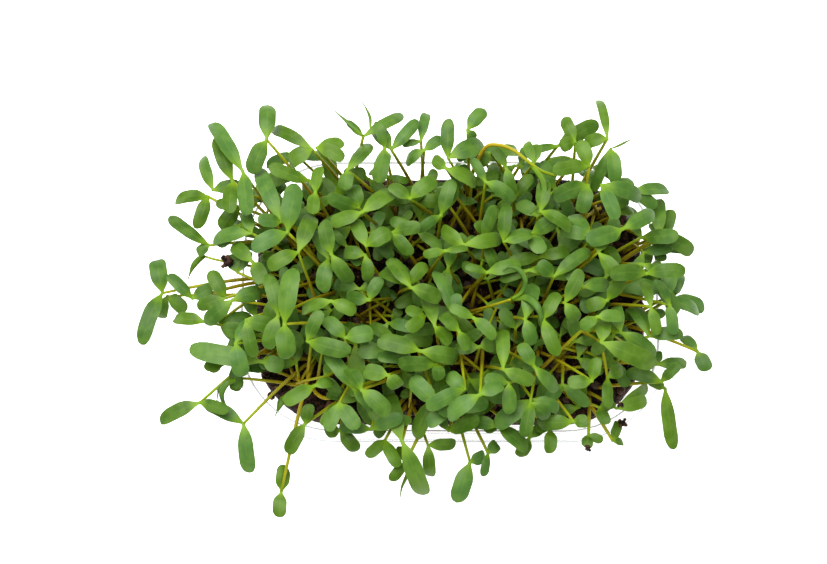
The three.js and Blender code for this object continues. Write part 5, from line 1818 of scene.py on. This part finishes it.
class CHARD_OT_crumbs(bpy.types.Operator):
    """Scatters loose crumbs and fibres over the top of the mix"""

    bl_idname = "chard.crumbs"
    bl_label = "Crumbs and fibres"

    def execute(self, context):
        sizes = context.scene.chard_mix
        chance = seeded(CRUMB_SEED)
        lumps = [modelled_lump(1, CRUMB_ROUGH, CRUMB_FLAT, seed) for seed in CRUMB_SHAPES]
        crumbs = Growth()
        room = wall_inset(MIX_TOP) + CRUMB_ROOM
        while len(crumbs.points) < sizes.crumbs:
            x = (2 * chance() - 1) * (RIM_WIDTH / 2 - room)
            y = (2 * chance() - 1) * (RIM_DEPTH / 2 - room)
            size = CRUMB_SIZE[0] + CRUMB_SIZE[1] * chance() ** 3
            if beyond_rim(x, y) > -room - CRUMB_EDGE_BAND:
                size *= CRUMB_EDGE_LARGER
            if beyond_rim(x, y) > -room - size:
                continue
            points, faces = lumps[len(crumbs.points) % len(lumps)]
            middle = np.array([x, y, mix_height(x, y) + CRUMB_RAISED * size])
            tone = (chance(), chance(), 1)
            crumbs.add(turned(points, chance) * size + middle, faces, 0, (0.5, 0.5), tone)
        piece = crumbs.piece("mix_crumbs", [crumb_material(sizes)])
        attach(piece, "root")
        fibres = Growth()
        for _ in range(sizes.fibres):
            x = (2 * chance() - 1) * (RIM_WIDTH / 2 - room - FIBRE_ROOM)
            y = (2 * chance() - 1) * (RIM_DEPTH / 2 - room - FIBRE_ROOM)
            heading, bend = TAU * chance(), FIBRE_BEND * (chance() - 0.5)
            long, radius = drawn(chance, FIBRE_LENGTH), drawn(chance, FIBRE_RADIUS)
            if beyond_rim(x, y) > -room - FIBRE_ROOM - 1:
                continue
            self.add_fibre(fibres, x, y, heading, bend, long, radius, (chance(), chance() ** 0.3, 1))
        piece = fibres.piece("mix_fibres", [crumb_material(sizes)])
        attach(piece, "root")
        return {"FINISHED"}

    def add_fibre(self, growth, x, y, heading, bend, long, radius, tone):
        """A thin curved fibre that lies on the mix."""
        spine = []
        for share in np.arange(FIBRE_STEPS + 1) / FIBRE_STEPS:
            turn = heading + bend * share
            px = x + long * (share - 0.5) * math.cos(turn)
            py = y + long * (share - 0.5) * math.sin(turn)
            pz = mix_height(px, py) + FIBRE_RAISED + FIBRE_ARCH * math.sin(math.pi * share)
            spine.append((px, py, pz, turn))
        points = []
        for px, py, pz, turn in spine:
            for angle in (0, TAU / 3, 2 * TAU / 3):
                out = radius * math.cos(angle)
                side = (-math.sin(turn) * out, math.cos(turn) * out, radius * math.sin(angle))
                points.append(np.array([px, py, pz]) + side)
        faces = ring_faces(FIBRE_STEPS + 1, 3)
        last = 3 * FIBRE_STEPS
        faces.append((2, 1, 0))
        faces.append((last, last + 1, last + 2))
        growth.add(points, faces, 0, (0.5, 0.5), tone)


def seedling_materials(colours):
    """The materials that a seedling's faces number: leaf, stem, husk and root."""
    return [make(colours) for make in (leaf_material, stem_material, husk_material, root_material)]


def add_spot(growth, spot, husk_radius):
    """A seed with its husk, its root and all its seedlings."""
    chance = seeded(spot.index * 389 + 71)
    add_husk(growth, spot, husk_radius, chance)
    for seedling in spot.seedlings:
        add_stem(growth, seedling, chance)
        add_leaf_pair(growth, seedling, chance)


class CHARD_OT_clusters(bpy.types.Operator):
    """Grows the finer clusters of seedlings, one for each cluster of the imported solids"""

    bl_idname = "chard.clusters"
    bl_label = "Clusters of seedlings"

    def execute(self, context):
        materials = seedling_materials(context.scene.chard_seedlings)
        for spot in grown_bed().clusters:
            number = f"{spot.index + 1:02d}"
            growth = Growth()
            add_spot(growth, spot, HUSK_RADIUS * CLUSTER_HUSK)
            piece = growth.piece(f"cluster_{number}", materials)
            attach(piece, "root")
            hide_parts(f"seedlings_{number}")
        return {"FINISHED"}


class CHARD_OT_between(bpy.types.Operator):
    """Grows more seedlings between the clusters"""

    bl_idname = "chard.between"
    bl_label = "Seedlings between the clusters"

    def execute(self, context):
        materials = seedling_materials(context.scene.chard_seedlings)
        grown = [spot for spot in grown_bed().between if spot.seedlings]
        for part in range(BETWEEN_PIECES):
            growth = Growth()
            for spot in grown[part::BETWEEN_PIECES]:
                add_spot(growth, spot, HUSK_RADIUS * BETWEEN_HUSK)
            piece = growth.piece(f"between_clusters_{part + 1}", materials)
            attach(piece, "root")
        return {"FINISHED"}


class CHARD_OT_strays(bpy.types.Operator):
    """Adds bent stems, curled leaves, and the clods and husks that are caught among the seedlings"""

    bl_idname = "chard.strays"
    bl_label = "Bent and caught pieces"

    def execute(self, context):
        materials = seedling_materials(context.scene.chard_seedlings)
        chance = seeded(CAUGHT_SEED)
        bends = Growth()
        for bend in BENDS:
            add_bend(bends, bend, chance)
        piece = bends.piece("bent_stems_and_leaves", materials)
        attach(piece, "root")
        husks = Growth()
        for caught in CAUGHT:
            if caught.on_mix:
                x, y, _ = place_at(caught.across, caught.down, MIX_TOP + MIX_CRUMB)
                middle = np.array([x, y, mix_height(x, y) + ON_MIX_RAISED * caught.radius])
            else:
                middle = carrier_at(grown_bed(), caught.across, caught.down)
                middle = middle + [0, 0, ON_CARRIER_RAISED * caught.radius]
            for _ in range(CAUGHT_LUMPS):
                points, faces = husk_lump(int(HUSK_KINDS * chance()))
                size = caught.radius * drawn(chance, CAUGHT_LUMP_SIZE)
                beside = caught.radius * CAUGHT_SPREAD * (np.array([chance(), chance(), chance()]) - 0.5)
                tone = (drawn(chance, CAUGHT_SHADE), chance(), 1)
                husks.add(turned(points, chance) * size + middle + beside, faces, 0, (0.5, 0.5), tone)
        piece = husks.piece("caught_husks", [crumb_material(context.scene.chard_mix)])
        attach(piece, "root")
        return {"FINISHED"}


class CHARD_OT_stage(bpy.types.Operator):
    """Sets the pale floor, the soft light and the camera at the photograph's viewing angle"""

    bl_idname = "chard.stage"
    bl_label = "Floor, light and camera"

    def execute(self, context):
        stage = context.scene.chard_stage
        deselect()
        bpy.ops.mesh.primitive_plane_add(size=FLOOR_SIZE, location=(0, 0, 0))
        floor = bpy.context.object
        floor.name = floor.data.name = "floor"
        material, _, shader = new_material("pale_floor")
        shader.inputs["Base Color"].default_value = rgba(stage.floor)
        shader.inputs["Roughness"].default_value = 0.9
        shader.inputs["Specular IOR Level"].default_value = 0.1
        shader.inputs["Emission Color"].default_value = rgba(stage.floor)
        shader.inputs["Emission Strength"].default_value = stage.glow
        floor.data.materials.append(material)
        world = bpy.data.worlds.new("even_sky")
        world.use_nodes = True
        world.node_tree.nodes["Background"].inputs["Color"].default_value = (1, 1, 1, 1)
        world.node_tree.nodes["Background"].inputs["Strength"].default_value = stage.sky
        context.scene.world = world
        key = bpy.data.lights.new("soft_key", "AREA")
        key.shape = "DISK"
        key.size = KEY_SIZE
        key.energy = stage.key
        key_lamp = bpy.data.objects.new("soft_key", key)
        key_lamp.location = KEY_PLACE
        key_lamp.rotation_euler = (Vector(KEY_AIM) - key_lamp.location).to_track_quat("-Z", "Y").to_euler()
        context.collection.objects.link(key_lamp)
        self.place_camera(context, stage)
        context.scene.view_settings.view_transform = "Standard"
        context.scene.view_settings.look = "Medium High Contrast"
        return {"FINISHED"}

    def place_camera(self, context, stage):
        """The rim's middle lies a little right of and below the middle of the photograph."""
        rim = Vector((0, 0, TUB_HEIGHT * MM))
        back = Vector((0, -math.cos(stage.elevation), math.sin(stage.elevation)))
        upwards = Vector((0, math.sin(stage.elevation), math.cos(stage.elevation)))
        focal = stage.lens / SENSOR_WIDTH * PHOTO_WIDTH
        left = (PHOTO_ACROSS - PHOTO_WIDTH / 2) / focal * stage.distance
        above = (PHOTO_DOWN - PHOTO_HEIGHT / 2) / focal * stage.distance
        camera = bpy.data.cameras.new("camera")
        camera.lens = stage.lens
        camera.sensor_width = SENSOR_WIDTH
        camera.clip_start = 0.01
        held = bpy.data.objects.new("camera", camera)
        held.location = rim + back * stage.distance
        ahead = (rim + Vector((-left, 0, 0)) + upwards * above - held.location).normalized()
        rightwards = (Vector((1, 0, 0)) - ahead * ahead.x).normalized()
        axes = Matrix((rightwards, rightwards.cross(ahead), -ahead)).transposed()
        held.rotation_euler = axes.to_euler()
        context.collection.objects.link(held)
        context.scene.camera = held


OPERATORS = (
    CHARD_OT_tub,
    CHARD_OT_mix,
    CHARD_OT_crumbs,
    CHARD_OT_clusters,
    CHARD_OT_between,
    CHARD_OT_strays,
    CHARD_OT_stage,
)
GROUPS = {
    "chard_tub": ChardTub,
    "chard_mix": ChardMix,
    "chard_seedlings": ChardSeedlings,
    "chard_stage": ChardStage,
}


class CHARD_PT_sidebar(bpy.types.Panel):
    """Lists the pieces and their sizes and colours"""

    bl_label = "Yellow chard"
    bl_idname = "CHARD_PT_sidebar"
    bl_space_type = "VIEW_3D"
    bl_region_type = "UI"
    bl_category = "Chard"

    def draw(self, context):
        for operator in OPERATORS:
            self.layout.operator(operator.bl_idname)
        for group in GROUPS:
            box = self.layout.box()
            values = getattr(context.scene, group)
            for name in values.__annotations__:
                box.prop(values, name)


CLASSES = (*GROUPS.values(), *OPERATORS, CHARD_PT_sidebar)


def register():
    for made in CLASSES:
        bpy.utils.register_class(made)
    for name, group in GROUPS.items():
        setattr(bpy.types.Scene, name, PointerProperty(type=group))


def unregister():
    for name in GROUPS:
        delattr(bpy.types.Scene, name)
    for made in reversed(CLASSES):
        bpy.utils.unregister_class(made)


def main():
    """Builds every piece and the stage."""
    register()
    bpy.ops.chard.tub()
    bpy.ops.chard.mix()
    bpy.ops.chard.crumbs()
    bpy.ops.chard.clusters()
    bpy.ops.chard.between()
    bpy.ops.chard.strays()
    bpy.ops.chard.stage()


if __name__ == "__main__":
    main()
